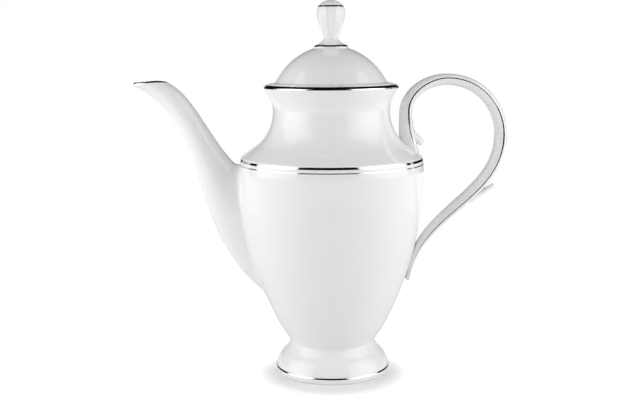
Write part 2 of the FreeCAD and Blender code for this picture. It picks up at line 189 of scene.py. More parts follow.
class KnobSizes(bpy.types.PropertyGroup):
    base_radius: length("Knob base radius", "Radius of the base disc", high("knob_base_band", "x"))
    base_thickness: length("Knob base thickness", "Thickness of the base disc", 2.3 * MM)
    stem_radius: length("Stem radius", "Radius of the stem", 5.2 * MM)
    stem_height: length("Stem height", "Height of the stem over the dome", 6.7 * MM)
    flare_rise: length("Flare rise", "How the base rises to the stem", 1.4 * MM)
    flare_reach: length("Flare reach", "How the stem spreads to the base", 1.4 * MM)
    flare_edge: length("Flare edge", "Flat left on the base", 0.5 * MM)
    bulb_low_radius: length("Bulb low pull, radius", "How the bulb swells from the stem", 6.4 * MM)
    bulb_low_height: length("Bulb low pull, height", "How the bulb swells from the stem", 12.5 * MM)
    bulb_high_radius: length("Bulb high pull, radius", "How the bulb closes to the crown", 12.6 * MM)
    bulb_high_height: length("Bulb high pull, height", "How the bulb closes to the crown", 24.0 * MM)
    crown_radius: length("Crown radius", "Radius of the crown", high("knob_crown_band", "x"))
    crown_level: length("Crown level", "Height of the crown's lower edge", low("knob_crown_band", "z"))
    crown_top: length("Crown top", "Height of the whole pot", high("lid_knob", "z") - 0.4 * MM)
    crown_pull: length("Crown pull", "Fullness of the crown", 5.5 * MM)
    ledge: length("Ledge", "How far the crown stands over the flutes", 0.35 * MM)
    flutes: count("Flutes", "Number of flutes round the bulb", 16)
    flute_depth: length("Flute depth", "Depth of the valleys between the flutes", 0.32 * MM)
    flute_start: number("Flute start", "Share of the bulb's height over which they deepen", 0.25)
    edge_round: length("Knob edge round", "Reach of the round on its edges", 0.25 * MM)


class SpoutSizes(bpy.types.PropertyGroup):
    tip_reach: length("Tip reach", "How far the tip stands out from the pot's axis", 140.5 * MM)
    tip_rise: length("Tip rise", "Height of the tip over the rim", 1.4 * MM)
    mouth_length: length("Mouth length", "Length of the slanted mouth", 25.3 * MM)
    mouth_rise: length("Mouth rise", "Rise of the mouth towards the pot", 1.6 * MM)
    root_x: length("Root place", "Where the edges end inside the body", -42.6 * MM)
    root_level: length("Root level", "Height of the lower edge's end", 53.0 * MM)
    root_top: length("Root top", "Height of the upper edge's end", 141.0 * MM)
    lip_reach: length("Lip pull, out", "How the lower edge leaves the tip", 58.5 * MM)
    lip_fall: length("Lip pull, down", "How the lower edge leaves the tip", 28.2 * MM)
    low_reach: length("Root pull, out", "How the lower edge meets the body", 65.1 * MM)
    low_rise: length("Root pull, up", "How the lower edge meets the body", 43.5 * MM)
    top_reach: length("Heel pull, out", "How the upper edge leaves the mouth", 25.3 * MM)
    top_fall: length("Heel pull, down", "How the upper edge leaves the mouth", 14.2 * MM)
    high_reach: length("Shoulder pull, out", "How the upper edge meets the body", 35.2 * MM)
    high_fall: length("Shoulder pull, down", "How the upper edge meets the body", 3.7 * MM)
    top_lead: number("Top lead", "How far the upper edge runs ahead of the lower one", 0.8)
    tip_width: length("Tip width", "Width at the mouth", 15.0 * MM)
    neck_width: length("Neck width", "Width that the middle is drawn to", 17.0 * MM)
    root_width: length("Root width", "Width at the root", 28.0 * MM)
    wall: length("Spout wall", "Thickness of the spout", 2.6 * MM)
    tip_drop: length("Tip drop", "How far below the tip its rounded lip starts", 1.5 * MM)
    heel_drop: length("Heel drop", "How far below the heel its rounded lip starts", 1.5 * MM)
    tip_lip: length("Tip lip", "Height of the rounded lip at the tip", 2.1 * MM)
    heel_lip: length("Heel lip", "Height of the rounded lip at the heel", 0.7 * MM)
    lip_swell: length("Lip swell", "How far the lip's sides rise over its ends", 1.6 * MM)
    fillet: length("Root fillet", "Glaze fillet where the spout meets the body", 2.0 * MM)
    top_fillet: number("Top fillet", "How many times as large that is under the shoulder", 2.8)
    rows: count("Rows", "Rings along the spout", 220)
    columns: count("Columns", "Points round the spout", 96)


class HandleSizes(bpy.types.PropertyGroup):
    left_x: length("Left place", "Middle of the strap beside the neck", 52.75 * MM)
    left_level: length("Left level", "Height of that place", 187.5 * MM)
    crest_x: length("Crest place", "Middle of the strap at its crest", 81.3 * MM)
    crest_level: length("Crest level", "Height of the crest", 211.2 * MM)
    back_x: length("Back place", "Middle of the strap at its back", 120.7 * MM)
    back_level: length("Back level", "Height of the back", 171.7 * MM)
    tail_x: length("Tail place", "Middle of the strap at its tail", 54.9 * MM)
    tail_level: length("Tail level", "Height of the tail", 68.0 * MM)
    root_x: length("Handle root place", "Middle of the strap inside the shoulder", 56.3 * MM)
    root_level: length("Handle root level", "Height of that place", 156.0 * MM)
    root_pull: length("Root pull", "How the root meets the strap", 8.0 * MM)
    root_reach: length("Root reach", "How the root leaves the shoulder", 10.0 * MM)
    root_angle: angle("Root angle", "Lean of the root on the shoulder", 100.0)
    rise_pull: length("Rise pull", "How the strap rises beside the neck", 13.5 * MM)
    crest_pull: length("Crest pull", "How it comes to the crest", 14.0 * MM)
    fall_pull: length("Fall pull", "How it leaves the crest", 26.2 * MM)
    back_pull: length("Back pull", "How it comes to the back", 18.1 * MM)
    run_pull: length("Run pull", "How it leaves the back", 46.8 * MM)
    tail_pull: length("Tail pull", "How it comes to the tail", 50.8 * MM)
    tail_angle: angle("Tail angle", "Lean of the tail", 7.4)
    depth: length("Depth", "Front to back", high("handle_line_back", "y") * 2)
    root_depth: length("Root depth", "Front to back at the root", 11.6 * MM)
    thickness: length("Thickness", "Thickness beside the neck and at the back", 8.9 * MM)
    root_thickness: length("Root thickness", "Thickness at the root", 14.2 * MM)
    crest_thickness: length("Crest thickness", "Thickness at the crest", 8.1 * MM)
    tail_thickness: length("Tail thickness", "Thickness at the tail", 4.0 * MM)
    fullness: number("Fullness", "How full the strap's faces are", 0.7)
    root_flare: number("Root flare", "How late the root spreads", 0.8)
    tail_taper: number("Tail taper", "How late the tail thins", 3.0)
    root_arris: number("Root arris", "Place of the arris at the root, from inner to outer edge", -0.6)
    crest_arris: number("Crest arris", "Place of the arris at the crest", 0.32)
    back_arris: number("Back arris", "Place of the arris at the back", 0.5)
    tail_arris: number("Tail arris", "Place of the arris at the tail", 0.25)
    leaf_inset: length("Leaf inset", "Where the leaf leaves the strap", 1.2 * MM)
    leaf_start: length("Leaf start", "How far below the left place the leaf starts", 5.5 * MM)
    leaf_reach: length("Leaf reach", "How far the leaf's tip stands in", 10.75 * MM)
    leaf_drop: length("Leaf drop", "How far the leaf's tip hangs down", 20.6 * MM)
    leaf_arris: number("Leaf arris", "Place of the arris on the leaf", -0.5)
    leaf_pull: length("Leaf pull", "How the leaf leaves the strap", 9.0 * MM)
    leaf_tip_pull: length("Leaf tip pull", "How the leaf curls to its tip", 7.0 * MM)
    leaf_tip_angle: angle("Leaf tip angle", "Lean of the leaf's tip", 137.0)
    leaf_thickness: length("Leaf thickness", "Thickness at its start", 9.0 * MM)
    leaf_tip_thickness: length("Leaf tip thickness", "Thickness at its tip", 5.0 * MM)
    line_share: number("Line share", "Where the line lies, as a share of the arris's way out", 0.76)
    line_tip_inset: length("Line tip inset", "Where the platinum line starts beside the leaf's tip", 0.9 * MM)
    line_tip_drop: length("Line tip drop", "Where it starts below the leaf's tip", 1.6 * MM)
    line_tip_angle: angle("Line tip angle", "How it leaves the tip", 158.0)
    line_tip_pull: length("Line tip pull", "How it leaves the tip", 7.0 * MM)
    line_root_pull: length("Line root pull", "How it comes onto the strap", 14.0 * MM)
    spur_start: number("Spur start", "Place of the thumb spur along the tail run", 0.44)
    spur_inset: length("Spur inset", "How far outward it starts", 3.2 * MM)
    spur_angle: angle("Spur angle", "Rise of the spur", 32.5)
    spur_length: length("Spur length", "Length of the spur", 21.0 * MM)
    spur_thickness: length("Spur thickness", "Thickness at its start", 3.8 * MM)
    spur_tip_thickness: length("Spur tip thickness", "Thickness at its tip", 3.0 * MM)
    spur_depth: length("Spur depth", "Front to back at the start of leaf and spur", 11.0 * MM)
    spur_tip_depth: length("Spur tip depth", "Front to back at their tips", 7.0 * MM)
    arris_start: number("Arris start", "Share of each face before the round of the arris", 0.74)


class BandSizes(bpy.types.PropertyGroup):
    rim_width: length("Rim band", "Width of the band at the rim", 2.4 * MM)
    shoulder_drop: length("Shoulder drop", "How far below the shoulder's corner the band starts", 0.65 * MM)
    shoulder_width: length("Shoulder band", "Width of the band on the shoulder", 1.75 * MM)
    line_gap: length("Line gap", "Gap between shoulder band and line", 2.0 * MM)
    line_width: length("Shoulder line", "Width of the line under it", 0.8 * MM)
    foot_width: length("Foot band", "Width of the band on the foot", 1.2 * MM)
    lid_width: length("Lid band", "Width of the band on the lid's edge", 1.0 * MM)
    lid_drop: length("Lid band drop", "How far it comes down over that edge", 0.1 * MM)
    base_width: length("Knob base band", "Width of the band on the knob's base", 1.3 * MM)
    crown_width: length("Knob crown band", "Height of the band on the knob's crown", 1.3 * MM)
    crown_lean: length("Knob crown lean", "How far that band leans in", 1.05 * MM)
    lip_start: angle("Lip band start", "Turn over the spout's lip where its band starts", 36.0)
    lip_end: angle("Lip band end", "Turn over the spout's lip where its band ends", 130.0)
    handle_width: length("Handle line", "Width of the line on the handle", 1.4 * MM)
    lift: length("Lift", "How far the platinum stands on the glaze", 0.04 * MM)
    sink: length("Sink", "How deep it reaches into the glaze", 0.3 * MM)


class Finishes(bpy.types.PropertyGroup):
    porcelain: colour("Porcelain", "Glazed body", (0.86, 0.86, 0.855))
    porcelain_shade: colour("Porcelain shade", "Where the glaze lies thicker", (0.84, 0.845, 0.845))
    glaze_waves: number("Glaze waves", "Scale of the slow waves in the glaze", 35.0)
    glaze_mottle: number("Glaze mottle", "Scale of the fine mottle on it", 260.0)
    glaze_gloss: number("Glaze gloss", "Roughness where it is smoothest", 0.03)
    glaze_haze: number("Glaze haze", "Roughness where it is least smooth", 0.06)
    glaze_relief: number("Glaze relief", "How strongly its waves tilt the light", 0.03)
    glaze_depth: length("Glaze depth", "Depth of these waves", 2.0 * MM)
    glaze_index: number("Glaze index", "Refraction of the glaze", 1.5)
    platinum: colour("Platinum", "Fired metal", (0.80, 0.79, 0.77))
    platinum_shade: colour("Platinum shade", "Where the brush left it thinner", (0.70, 0.69, 0.67))
    brush_waves: number("Brush waves", "Scale of the slow waves in the metal", 120.0)
    brush_mottle: number("Brush mottle", "Scale of the brush's fine marks", 900.0)
    brush_gloss: number("Brush gloss", "Roughness where the metal is smoothest", 0.05)
    brush_haze: number("Brush haze", "Roughness where it is least smooth", 0.12)
    brush_relief: number("Brush relief", "How strongly the brush's marks tilt the light", 0.02)
    brush_depth: length("Brush depth", "Depth of these marks", 0.5 * MM)


class StudioSizes(bpy.types.PropertyGroup):
    camera_x: length("Camera across", "Its place from left to right", -8.5 * MM)
    camera_y: length("Camera back", "Its place from front to back", -758.2 * MM)
    camera_z: length("Camera up", "Its height over the table", 239.6 * MM)
    camera_pitch: angle("Camera pitch", "How far it looks down", 8.578)
    camera_roll: angle("Camera roll", "How far the picture leans", 0.38)
    focal: number("Focal length", "In millimetres on a 36 mm frame", 59.82)
    floor_radius: length("Floor radius", "Radius of the table top", 0.5)
    lamp_distance: length("Lamp distance", "From the pot's axis to each lamp", 0.55)
    lamp_turn: angle("Lamp turn", "Turned from the camera's side", 70.0)
    lamp_width: length("Lamp width", "Width of each lamp", 0.7)
    lamp_height: length("Lamp height", "Height of each lamp", 0.6)
    lamp_strength: number("Lamp strength", "Radiance of each lamp", 1.83)
    fill: number("Fill", "Light from all round", 0.435)
    floor_white: number("Floor white", "Share of the light that the floor throws back", 0.88)
    # Painted shadow on the floor: round this place the floor's camera glow is held back, which greys it near
    # the pot besides its real shadow
    shadow_front: length("Shadow front", "How far in front of the axis the shadow's middle lies", 14.0 * MM)
    shadow_near: length("Shadow near", "How far from there the floor starts to go over to white", 0.036)
    shadow_far: length("Shadow far", "How far from there it has gone over into the background", 0.08)
    card_distance: length("Card distance", "From the pot's axis to the cards that the gloss shows", 1.2)
    card_height: length("Card height", "Height of these cards", 1.75)
    box_start: angle("Softbox start", "Turn from the camera's side to its near edge", 36.5)
    box_turn: angle("Softbox turn", "How far the gap between the softboxes is turned to the left", 4.5)
    box_end: angle("Softbox end", "Turn from the camera's side to its far edge", 104.0)
    box_strength: number("Softbox strength", "Radiance of the middle of each softbox", 2.9)
    box_edge: number("Softbox edge", "Share of that left at its edges", 0.35)
    cloth_white: number("Cloth white", "Share of the light that the dark cloth throws back", 0.01)
    wall_start: angle("Wall start", "Turn from the camera's side to the light wall behind", 158.0)
    wall_strength: number("Wall strength", "Radiance of that wall's foot", 0.8)
    wall_low: number("Wall low", "Share of its height where it starts to darken", 0.1)
    wall_high: number("Wall high", "Share of its height where it is dark", 0.32)


GROUPS = {
    "pot_body": BodySizes,
    "pot_foot": FootSizes,
    "pot_lid": LidSizes,
    "pot_knob": KnobSizes,
    "pot_spout": SpoutSizes,
    "pot_handle": HandleSizes,
    "pot_bands": BandSizes,
    "pot_finish": Finishes,
    "pot_studio": StudioSizes,
}


# Curves in the plane of radius and height

def point(radius, level):
    return Vector((radius, level))


def step(reach, turn):
    return Vector((reach * math.cos(turn), reach * math.sin(turn)))


def spread(start, end, steps):
    return [start + (end - start) * i / steps for i in range(steps + 1)]


def arc(start, start_turn, end_turn, radius, steps):
    return [start + step(radius, turn - UP) - step(radius, start_turn - UP)
            for turn in spread(start_turn, end_turn, steps)]


def two_arcs(start, start_turn, end, end_turn, join_turn, steps):
    """Two arcs that join smoothly, with given ends and turns."""
    way = end - start
    first = step(1, join_turn - UP) - step(1, start_turn - UP)
    second = step(1, end_turn - UP) - step(1, join_turn - UP)
    cross = first.cross(second)
    first_radius = way.cross(second) / cross
    second_radius = first.cross(way) / cross
    join = start + first * first_radius
    return (arc(start, start_turn, join_turn, first_radius, steps)
            + arc(join, join_turn, end_turn, second_radius, steps)[1:])


def tangent_arc(start, start_turn, end, steps):
    chord = end - start
    turn = 2 * (math.atan2(chord.y, chord.x) - start_turn)
    return arc(start, start_turn, start_turn + turn, chord.length / (2 * math.sin(turn / 2)), steps)


def bezier(poles, t):
    while len(poles) > 1:
        poles = [a.lerp(b, t) for a, b in zip(poles, poles[1:])]
    return poles[0]


def bezier_slope(poles, t):
    return bezier([b - a for a, b in zip(poles, poles[1:])], t).normalized()


def bezier_run(poles, steps):
    return [bezier(poles, i / steps) for i in range(steps + 1)]


def trim_end(run, reach):
    corner = run[-1]
    kept = [p for p in run[:-1] if (p - corner).length > reach]
    return kept + [corner + (kept[-1] - corner).normalized() * reach]


def soften(runs, reaches):
    """Joins runs end to start, with a soft round of the given reach at each corner."""
    line = list(runs[0])
    for run, reach in zip(runs[1:], reaches):
        if reach == 0:
            line += run[1:]
            continue
        before = trim_end(line, reach)
        after = trim_end(run[::-1], reach)[::-1]
        poles = [before[-1], run[0], after[0]]
        line = before + bezier_run(poles, ROUND_STEPS)[1:-1] + after
    return line


def beside(line, offset):
    """A line to the right of the given one."""
    moved = []
    for i, here in enumerate(line):
        way = line[min(i + 1, len(line) - 1)] - line[max(i - 1, 0)]
        way.normalize()
        moved.append(here + Vector((way.y, -way.x)) * offset)
    return moved


def at_level(line, level):
    """Radius of a rising line at a level."""
    for a, b in zip(line, line[1:]):
        if a.y <= level <= b.y and b.y > a.y:
            return a.x + (b.x - a.x) * (level - a.y) / (b.y - a.y)
    raise ValueError("the line doesn't reach this level")


def between(line, bottom, top, steps):
    return [point(at_level(line, level), level) for level in spread(bottom, top, steps)]


# Outlines of the turned pieces

def inner_radius(sizes):
    return sizes.neck_radius - sizes.wall


def seat_radius(sizes):
    return sizes.rim_radius - sizes.lip_width


def urn_run(sizes, inset):
    """The urn's side from waist to belly, drawn in by an inset."""
    waist = point(sizes.waist_radius, sizes.waist_level)
    belly = point(sizes.belly_radius, sizes.belly_level)
    run = two_arcs(waist, UP - sizes.waist_lean, belly, UP, UP - sizes.urn_lean, URN_STEPS)
    return beside(run, -inset) if inset else run


def neck_run(sizes, inset):
    """From the shoulder's corner up to the narrowest ring, drawn in by an inset."""
    shoulder = point(sizes.shoulder_radius, sizes.shoulder_level)
    neck = point(sizes.neck_radius, sizes.neck_level)
    run = two_arcs(shoulder, 2 * UP - sizes.slope_angle, neck, UP, 2 * UP - sizes.slope_end, NECK_STEPS)
    return beside(run, -inset) if inset else run


def step_edge(sizes, foot):
    """The edge of the foot's step."""
    return point(sizes.waist_radius + foot.step_reach, sizes.waist_level - foot.step_drop)


def waist_fillet(sizes, foot):
    """The soft crease between foot and urn, from below to above the join."""
    waist = point(sizes.waist_radius, sizes.waist_level)
    below = waist + (step_edge(sizes, foot) - waist).normalized() * sizes.waist_fillet
    above = waist + step(sizes.waist_fillet, UP - sizes.waist_lean)
    return bezier_run([below, waist, above], 2 * ROUND_STEPS)


def body_outside(sizes, foot):
    """From the middle of the crease at the waist up to the inner edge of the rim's top."""
    crease = waist_fillet(sizes, foot)[ROUND_STEPS:]
    urn = [p for p in urn_run(sizes, 0) if p.y > crease[-1].y]
    belly = point(sizes.belly_radius, sizes.belly_level)
    shoulder = point(sizes.shoulder_radius, sizes.shoulder_level)
    neck = point(sizes.neck_radius, sizes.neck_level)
    lip = point(sizes.rim_radius, sizes.rim_level - bpy.context.scene.pot_bands.rim_width)
    rim_side = point(sizes.rim_radius, sizes.rim_level - sizes.rim_slope)
    rim_top = point(sizes.rim_radius - sizes.rim_slope, sizes.rim_level)
    runs = [
        crease + urn,
        tangent_arc(belly, UP, shoulder, CORNER_STEPS),
        neck_run(sizes, 0),
        two_arcs(neck, UP, lip, UP - sizes.lip_lean, UP - sizes.lip_bend, FLARE_STEPS),
        [lip, rim_side],
        [rim_side, rim_top],
        [rim_top, point(seat_radius(sizes), sizes.rim_level)],
    ]
    return soften(runs, [0, sizes.shoulder_round, 0] + [sizes.rim_round] * 3)


def body_outline(sizes, foot):
    """Up the outside, over the rim and the seat, and down the inside to the floor."""
    seat = sizes.rim_level - sizes.seat_depth
    inner_urn = [p for p in urn_run(sizes, sizes.wall) if p.y > sizes.waist_level + sizes.floor]
    floor_edge = point(inner_urn[0].x, sizes.waist_level + sizes.floor)
    inner_neck = neck_run(sizes, sizes.wall)
    throat = point(inner_radius(sizes), seat)
    outside = body_outside(sizes, foot)
    bottom = point(0, outside[0].y)
    runs = [
        outside,
        [outside[-1], point(seat_radius(sizes), seat)],
        [point(seat_radius(sizes), seat), throat],
        [throat] + inner_neck[::-1],
        [inner_neck[0]] + inner_urn[::-1] + [floor_edge],
        [floor_edge, point(0, floor_edge.y)],
    ]
    rounds = [2 * sizes.edge_round, sizes.edge_round / 2, sizes.edge_round, 0, sizes.wall]
    return [bottom] + soften(runs, rounds)


def foot_outside(sizes, foot):
    """From the middle of the crease at the waist down to the table."""
    crease = waist_fillet(sizes, foot)[:ROUND_STEPS + 1][::-1]
    foot_step = step_edge(sizes, foot)
    edge = point(foot.radius - foot.edge_lean, foot.edge_top)
    band_foot = point(foot.radius, foot.edge_top - bpy.context.scene.pot_bands.foot_width)
    base_edge = point(foot.radius, foot.base_edge)
    base = point(foot.radius - foot.base_tuck, 0)
    fall = math.atan2(edge.y - foot_step.y, edge.x - foot_step.x)
    meeting = fall - foot.skirt_drop
    runs = [
        crease + [foot_step],
        two_arcs(foot_step, fall + foot.skirt_lift, edge, -foot.skirt_end, meeting, SKIRT_STEPS),
        [edge, band_foot],
        [band_foot, base_edge],
        [base_edge, base],
    ]
    return soften(runs, [foot.step_round, 0, foot.edge_round / 2, foot.edge_round])


def foot_outline(sizes, foot):
    """Down the outside and up the hollow inside."""
    outside = foot_outside(sizes, foot)
    wall = point(foot.wall, 0)
    base = outside[-1]
    foot_step = step_edge(sizes, foot)
    top = point(sizes.waist_radius, outside[0].y) - wall
    inside = [base - wall, point(foot.radius, foot.base_edge) - wall, foot_step - wall, top]
    runs = [outside, [base, inside[0]]] + [[a, b] for a, b in zip(inside, inside[1:])]
    line = soften(runs, [foot.edge_round] * 2 + [foot.step_round] * 2)
    return line + [line[0]]


def dome_outside(lid, knob):
    """From the knob's base down to the flange."""
    top = point(knob.base_radius, lid.dome_top)
    foot = point(lid.flange_radius - lid.flange_step, lid.flange_top)
    return two_arcs(top, -lid.top_angle, foot, -lid.side_angle, -lid.bend_angle, DOME_STEPS)


def flange_edge(body, lid, knob):
    """The dome, flange and edge, down to the seat."""
    seat = body.rim_level - body.seat_depth
    corner = point(lid.flange_radius, lid.flange_top)
    dome = dome_outside(lid, knob)
    runs = [dome, [dome[-1], corner], [corner, point(lid.flange_radius, seat)]]
    return soften(runs, [lid.dome_fillet, lid.edge_round])


def lid_outline(body, lid, knob):
    """Over the dome and the flange, round the collar and back under the dome."""
    seat = body.rim_level - body.seat_depth
    collar = inner_radius(body) - lid.collar_gap
    inner_collar = collar - lid.collar_wall
    under_top = point(knob.base_radius, lid.dome_top - lid.wall)
    under_foot = point(inner_collar, seat)
    under = two_arcs(under_top, -lid.top_angle, under_foot, -lid.inside_angle, -lid.bend_angle, UNDER_STEPS)
    edge = flange_edge(body, lid, knob)
    runs = [
        [point(0, lid.dome_top)] + edge,
        [edge[-1], point(collar, seat)],
        [point(collar, seat), point(collar, lid.collar_foot)],
        [point(collar, lid.collar_foot), point(inner_collar, lid.collar_foot)],
        [point(inner_collar, lid.collar_foot)] + under[::-1] + [point(0, under_top.y)],
    ]
    return soften(runs, [lid.edge_round, lid.edge_round, lid.edge_round * 2, lid.edge_round * 2])


def crown_rise(bands):
    return point(-bands.crown_lean, bands.crown_width)


def base_slope(lid, knob, bands):
    """Both ends of the slope over the edge of the knob's base."""
    top = lid.dome_top + knob.base_thickness
    return point(knob.base_radius, top - bands.base_width), point(knob.base_radius - bands.base_width, top)


def knob_outline(lid, knob):
    """Outline of the knob, and the depth of its flutes at each point."""
    bands = bpy.context.scene.pot_bands
    base_top = lid.dome_top + knob.base_thickness
    stem = point(knob.stem_radius, lid.dome_top + knob.stem_height)
    stem_pull = point(knob.stem_radius + knob.flare_reach, base_top + knob.flare_rise)
    foot_edge = point(knob.base_radius, lid.dome_top)
    side, edge = base_slope(lid, knob, bands)
    crown = point(knob.crown_radius, knob.crown_level)
    crown_pull = point(knob.crown_pull, knob.crown_top)
    flare = bezier_run([edge - point(knob.flare_edge, 0), stem_pull, stem], STEM_STEPS)
    bulb = bezier_run([
        stem - point(knob.ledge, 0),
        point(knob.bulb_low_radius, lid.dome_top + knob.bulb_low_height),
        point(knob.bulb_high_radius, lid.dome_top + knob.bulb_high_height),
        crown - point(knob.ledge, 0),
    ], BULB_STEPS)
    dome = bezier_run([crown + crown_rise(bands), crown_pull, point(0, knob.crown_top)], CROWN_STEPS)
    foot = soften([[point(0, lid.dome_top), foot_edge], [foot_edge, side], [side, edge], [edge] + flare],
                  [knob.edge_round] * 3)
    top = soften([[bulb[-1], crown], [crown] + dome], [knob.ledge / 2])
    risen = [(here.y - stem.y) / (crown.y - stem.y) for here in bulb[1:-1]]
    depths = [knob.flute_depth * min(1, part / knob.flute_start) for part in risen]
    return foot + bulb[1:] + top[1:], [0.0] * len(foot) + depths + [0.0] * len(top)


def band_outline(line, lift, sink):
    """A thin closed strip along a line that runs upward, level with the glaze at both edges."""
    raised = [line[0]] + beside(line, lift)[1:-1] + [line[-1]]
    sunk = beside(line, -sink)
    return raised + sunk[::-1] + [raised[0]]


# Lines that the turned bands follow, each running upward

def rim_line(body, bands, outside):
    foot = body.rim_level - bands.rim_width
    inside = body.rim_radius - body.rim_slope - body.rim_round
    return [point(at_level(outside, foot), foot)] + [p for p in outside if p.y > foot and p.x > inside]


def flange_line(body, lid, knob, bands):
    foot = lid.flange_top - bands.lid_drop
    inside = lid.flange_radius - bands.lid_width
    return [p for p in flange_edge(body, lid, knob)[::-1] if p.y > foot and p.x > inside]


def base_line(lid, knob, bands):
    side, edge = base_slope(lid, knob, bands)
    return [p for p in knob_outline(lid, knob)[0] if side.y <= p.y <= edge.y and p.x >= edge.x]


def crown_line(knob, bands):
    crown = point(knob.crown_radius, knob.crown_level)
    return spread(crown, crown + crown_rise(bands), NARROW_BAND_STEPS)[1:]


# Node trees

def feed(tree, target, value):
    """Wires another socket to an input, or sets the input to a plain value."""
    if isinstance(value, bpy.types.NodeSocket):
        tree.links.new(value, target)
    else:
        target.default_value = value


def add_node(tree, kind, feeds=None, **settings):
    """A node with its settings, and with its inputs wired or set."""
    made = tree.nodes.new(kind)
    for name, value in settings.items():
        setattr(made, name, value)
    for socket, value in (feeds or {}).items():
        feed(tree, made.inputs[socket], value)
    return made


def new_tree(name, kind, inputs, outputs):
    """An empty node tree with named inputs and outputs."""
    tree = bpy.data.node_groups.new(name, kind)
    for side, sockets in (("INPUT", inputs), ("OUTPUT", outputs)):
        for label, socket in sockets.items():
            tree.interface.new_socket(label, in_out=side, socket_type="NodeSocket" + socket)
    return tree, add_node(tree, "NodeGroupInput").outputs, add_node(tree, "NodeGroupOutput").inputs


def calculate(tree, operation, *values):
    """The result of a math node on sockets or plain numbers."""
    return add_node(tree, "ShaderNodeMath", dict(enumerate(values)), operation=operation).outputs[0]


def times(tree, first, second):
    return calculate(tree, "MULTIPLY", first, second)


def way_length(tree, way):
    return add_node(tree, "ShaderNodeVectorMath", {0: way}, operation="LENGTH").outputs["Value"]


def moved_by(tree, start, way):
    return add_node(tree, "ShaderNodeVectorMath", {0: start, 1: way}, operation="ADD").outputs[0]


def moved_along(tree, start, way, amount):
    """The place that lies some amount of a way from a start."""
    scaled = add_node(tree, "ShaderNodeVectorMath", {0: way, "Scale": amount}, operation="SCALE")
    return moved_by(tree, start, scaled.outputs[0])


def grid_rows(tree, rows, columns):
    """A grid of rows by columns plus one, with the row and the column of each of its points."""
    across = calculate(tree, "ADD", columns, 1)
    grid = add_node(tree, "GeometryNodeMeshGrid", {"Vertices X": rows, "Vertices Y": across})
    index = add_node(tree, "GeometryNodeInputIndex").outputs[0]
    middle = calculate(tree, "ADD", index, 0.5)
    row = calculate(tree, "FLOOR", calculate(tree, "DIVIDE", middle, across))
    column = calculate(tree, "SUBTRACT", index, times(tree, row, across))
    return grid.outputs["Mesh"], row, column


def sampled(tree, path, kind, value, row):
    """A value of the path's point that a row stands for."""
    feeds = {"Geometry": path, "Value": value, "Index": row}
    return add_node(tree, "GeometryNodeSampleIndex", feeds, data_type=kind, domain="POINT").outputs["Value"]


def named_value(tree, kind, name):
    made = add_node(tree, "GeometryNodeInputNamedAttribute", {"Name": name}, data_type=kind)
    return made.outputs["Attribute"]


def path_rows(tree, path, steps):
    """A grid with a row for each point of a path: its mesh, the row, the turn and the path's place there."""
    size = add_node(tree, "GeometryNodeAttributeDomainSize", {"Geometry": path}, component="MESH")
    mesh, row, column = grid_rows(tree, size.outputs["Point Count"], steps)
    turn = times(tree, calculate(tree, "DIVIDE", column, steps), FULL_TURN)
    position = add_node(tree, "GeometryNodeInputPosition").outputs[0]
    return mesh, row, turn, sampled(tree, path, "FLOAT_VECTOR", position, row)


def close_tree(tree, mesh, place, material, result):
    """Moves the grid's points to their places, closes its seams and ends the tree."""
    stages = [
        ("GeometryNodeSetPosition", {"Position": place}),
        ("GeometryNodeMergeByDistance", {"Distance": SAME_POINT}),
        ("GeometryNodeSetShadeSmooth", {}),
        ("GeometryNodeRealizeInstances", {}),
        ("GeometryNodeSetMaterial", {"Material": material}),
    ]
    for kind, feeds in stages:
        mesh = add_node(tree, kind, {"Geometry": mesh, **feeds}).outputs[0]
    feed(tree, result["Geometry"], mesh)


def turned_tree(name):
    """Turns an outline about the pot's axis, with flutes where the outline says how deep they are."""
    inputs = {"Geometry": "Geometry", "Turn steps": "Int", "Flutes": "Int", "Material": "Material"}
    tree, given, result = new_tree(name, "GeometryNodeTree", inputs, {"Geometry": "Geometry"})
    outline = given["Geometry"]
    mesh, row, turn, here = path_rows(tree, outline, given["Turn steps"])
    depth = sampled(tree, outline, "FLOAT", named_value(tree, "FLOAT", FLUTE_NAME), row)
    parts = add_node(tree, "ShaderNodeSeparateXYZ", {0: here}).outputs
    wave = calculate(tree, "COSINE", times(tree, times(tree, turn, given["Flutes"]), 0.5))
    valley = calculate(tree, "SUBTRACT", 1, calculate(tree, "ABSOLUTE", wave))
    radius = calculate(tree, "SUBTRACT", parts["X"], times(tree, depth, valley))
    place = add_node(tree, "ShaderNodeCombineXYZ", {
        "X": times(tree, radius, calculate(tree, "COSINE", turn)),
        "Y": times(tree, radius, calculate(tree, "SINE", turn)),
        "Z": parts["Z"],
    })
    close_tree(tree, mesh, place.outputs[0], given["Material"], result)
    return tree


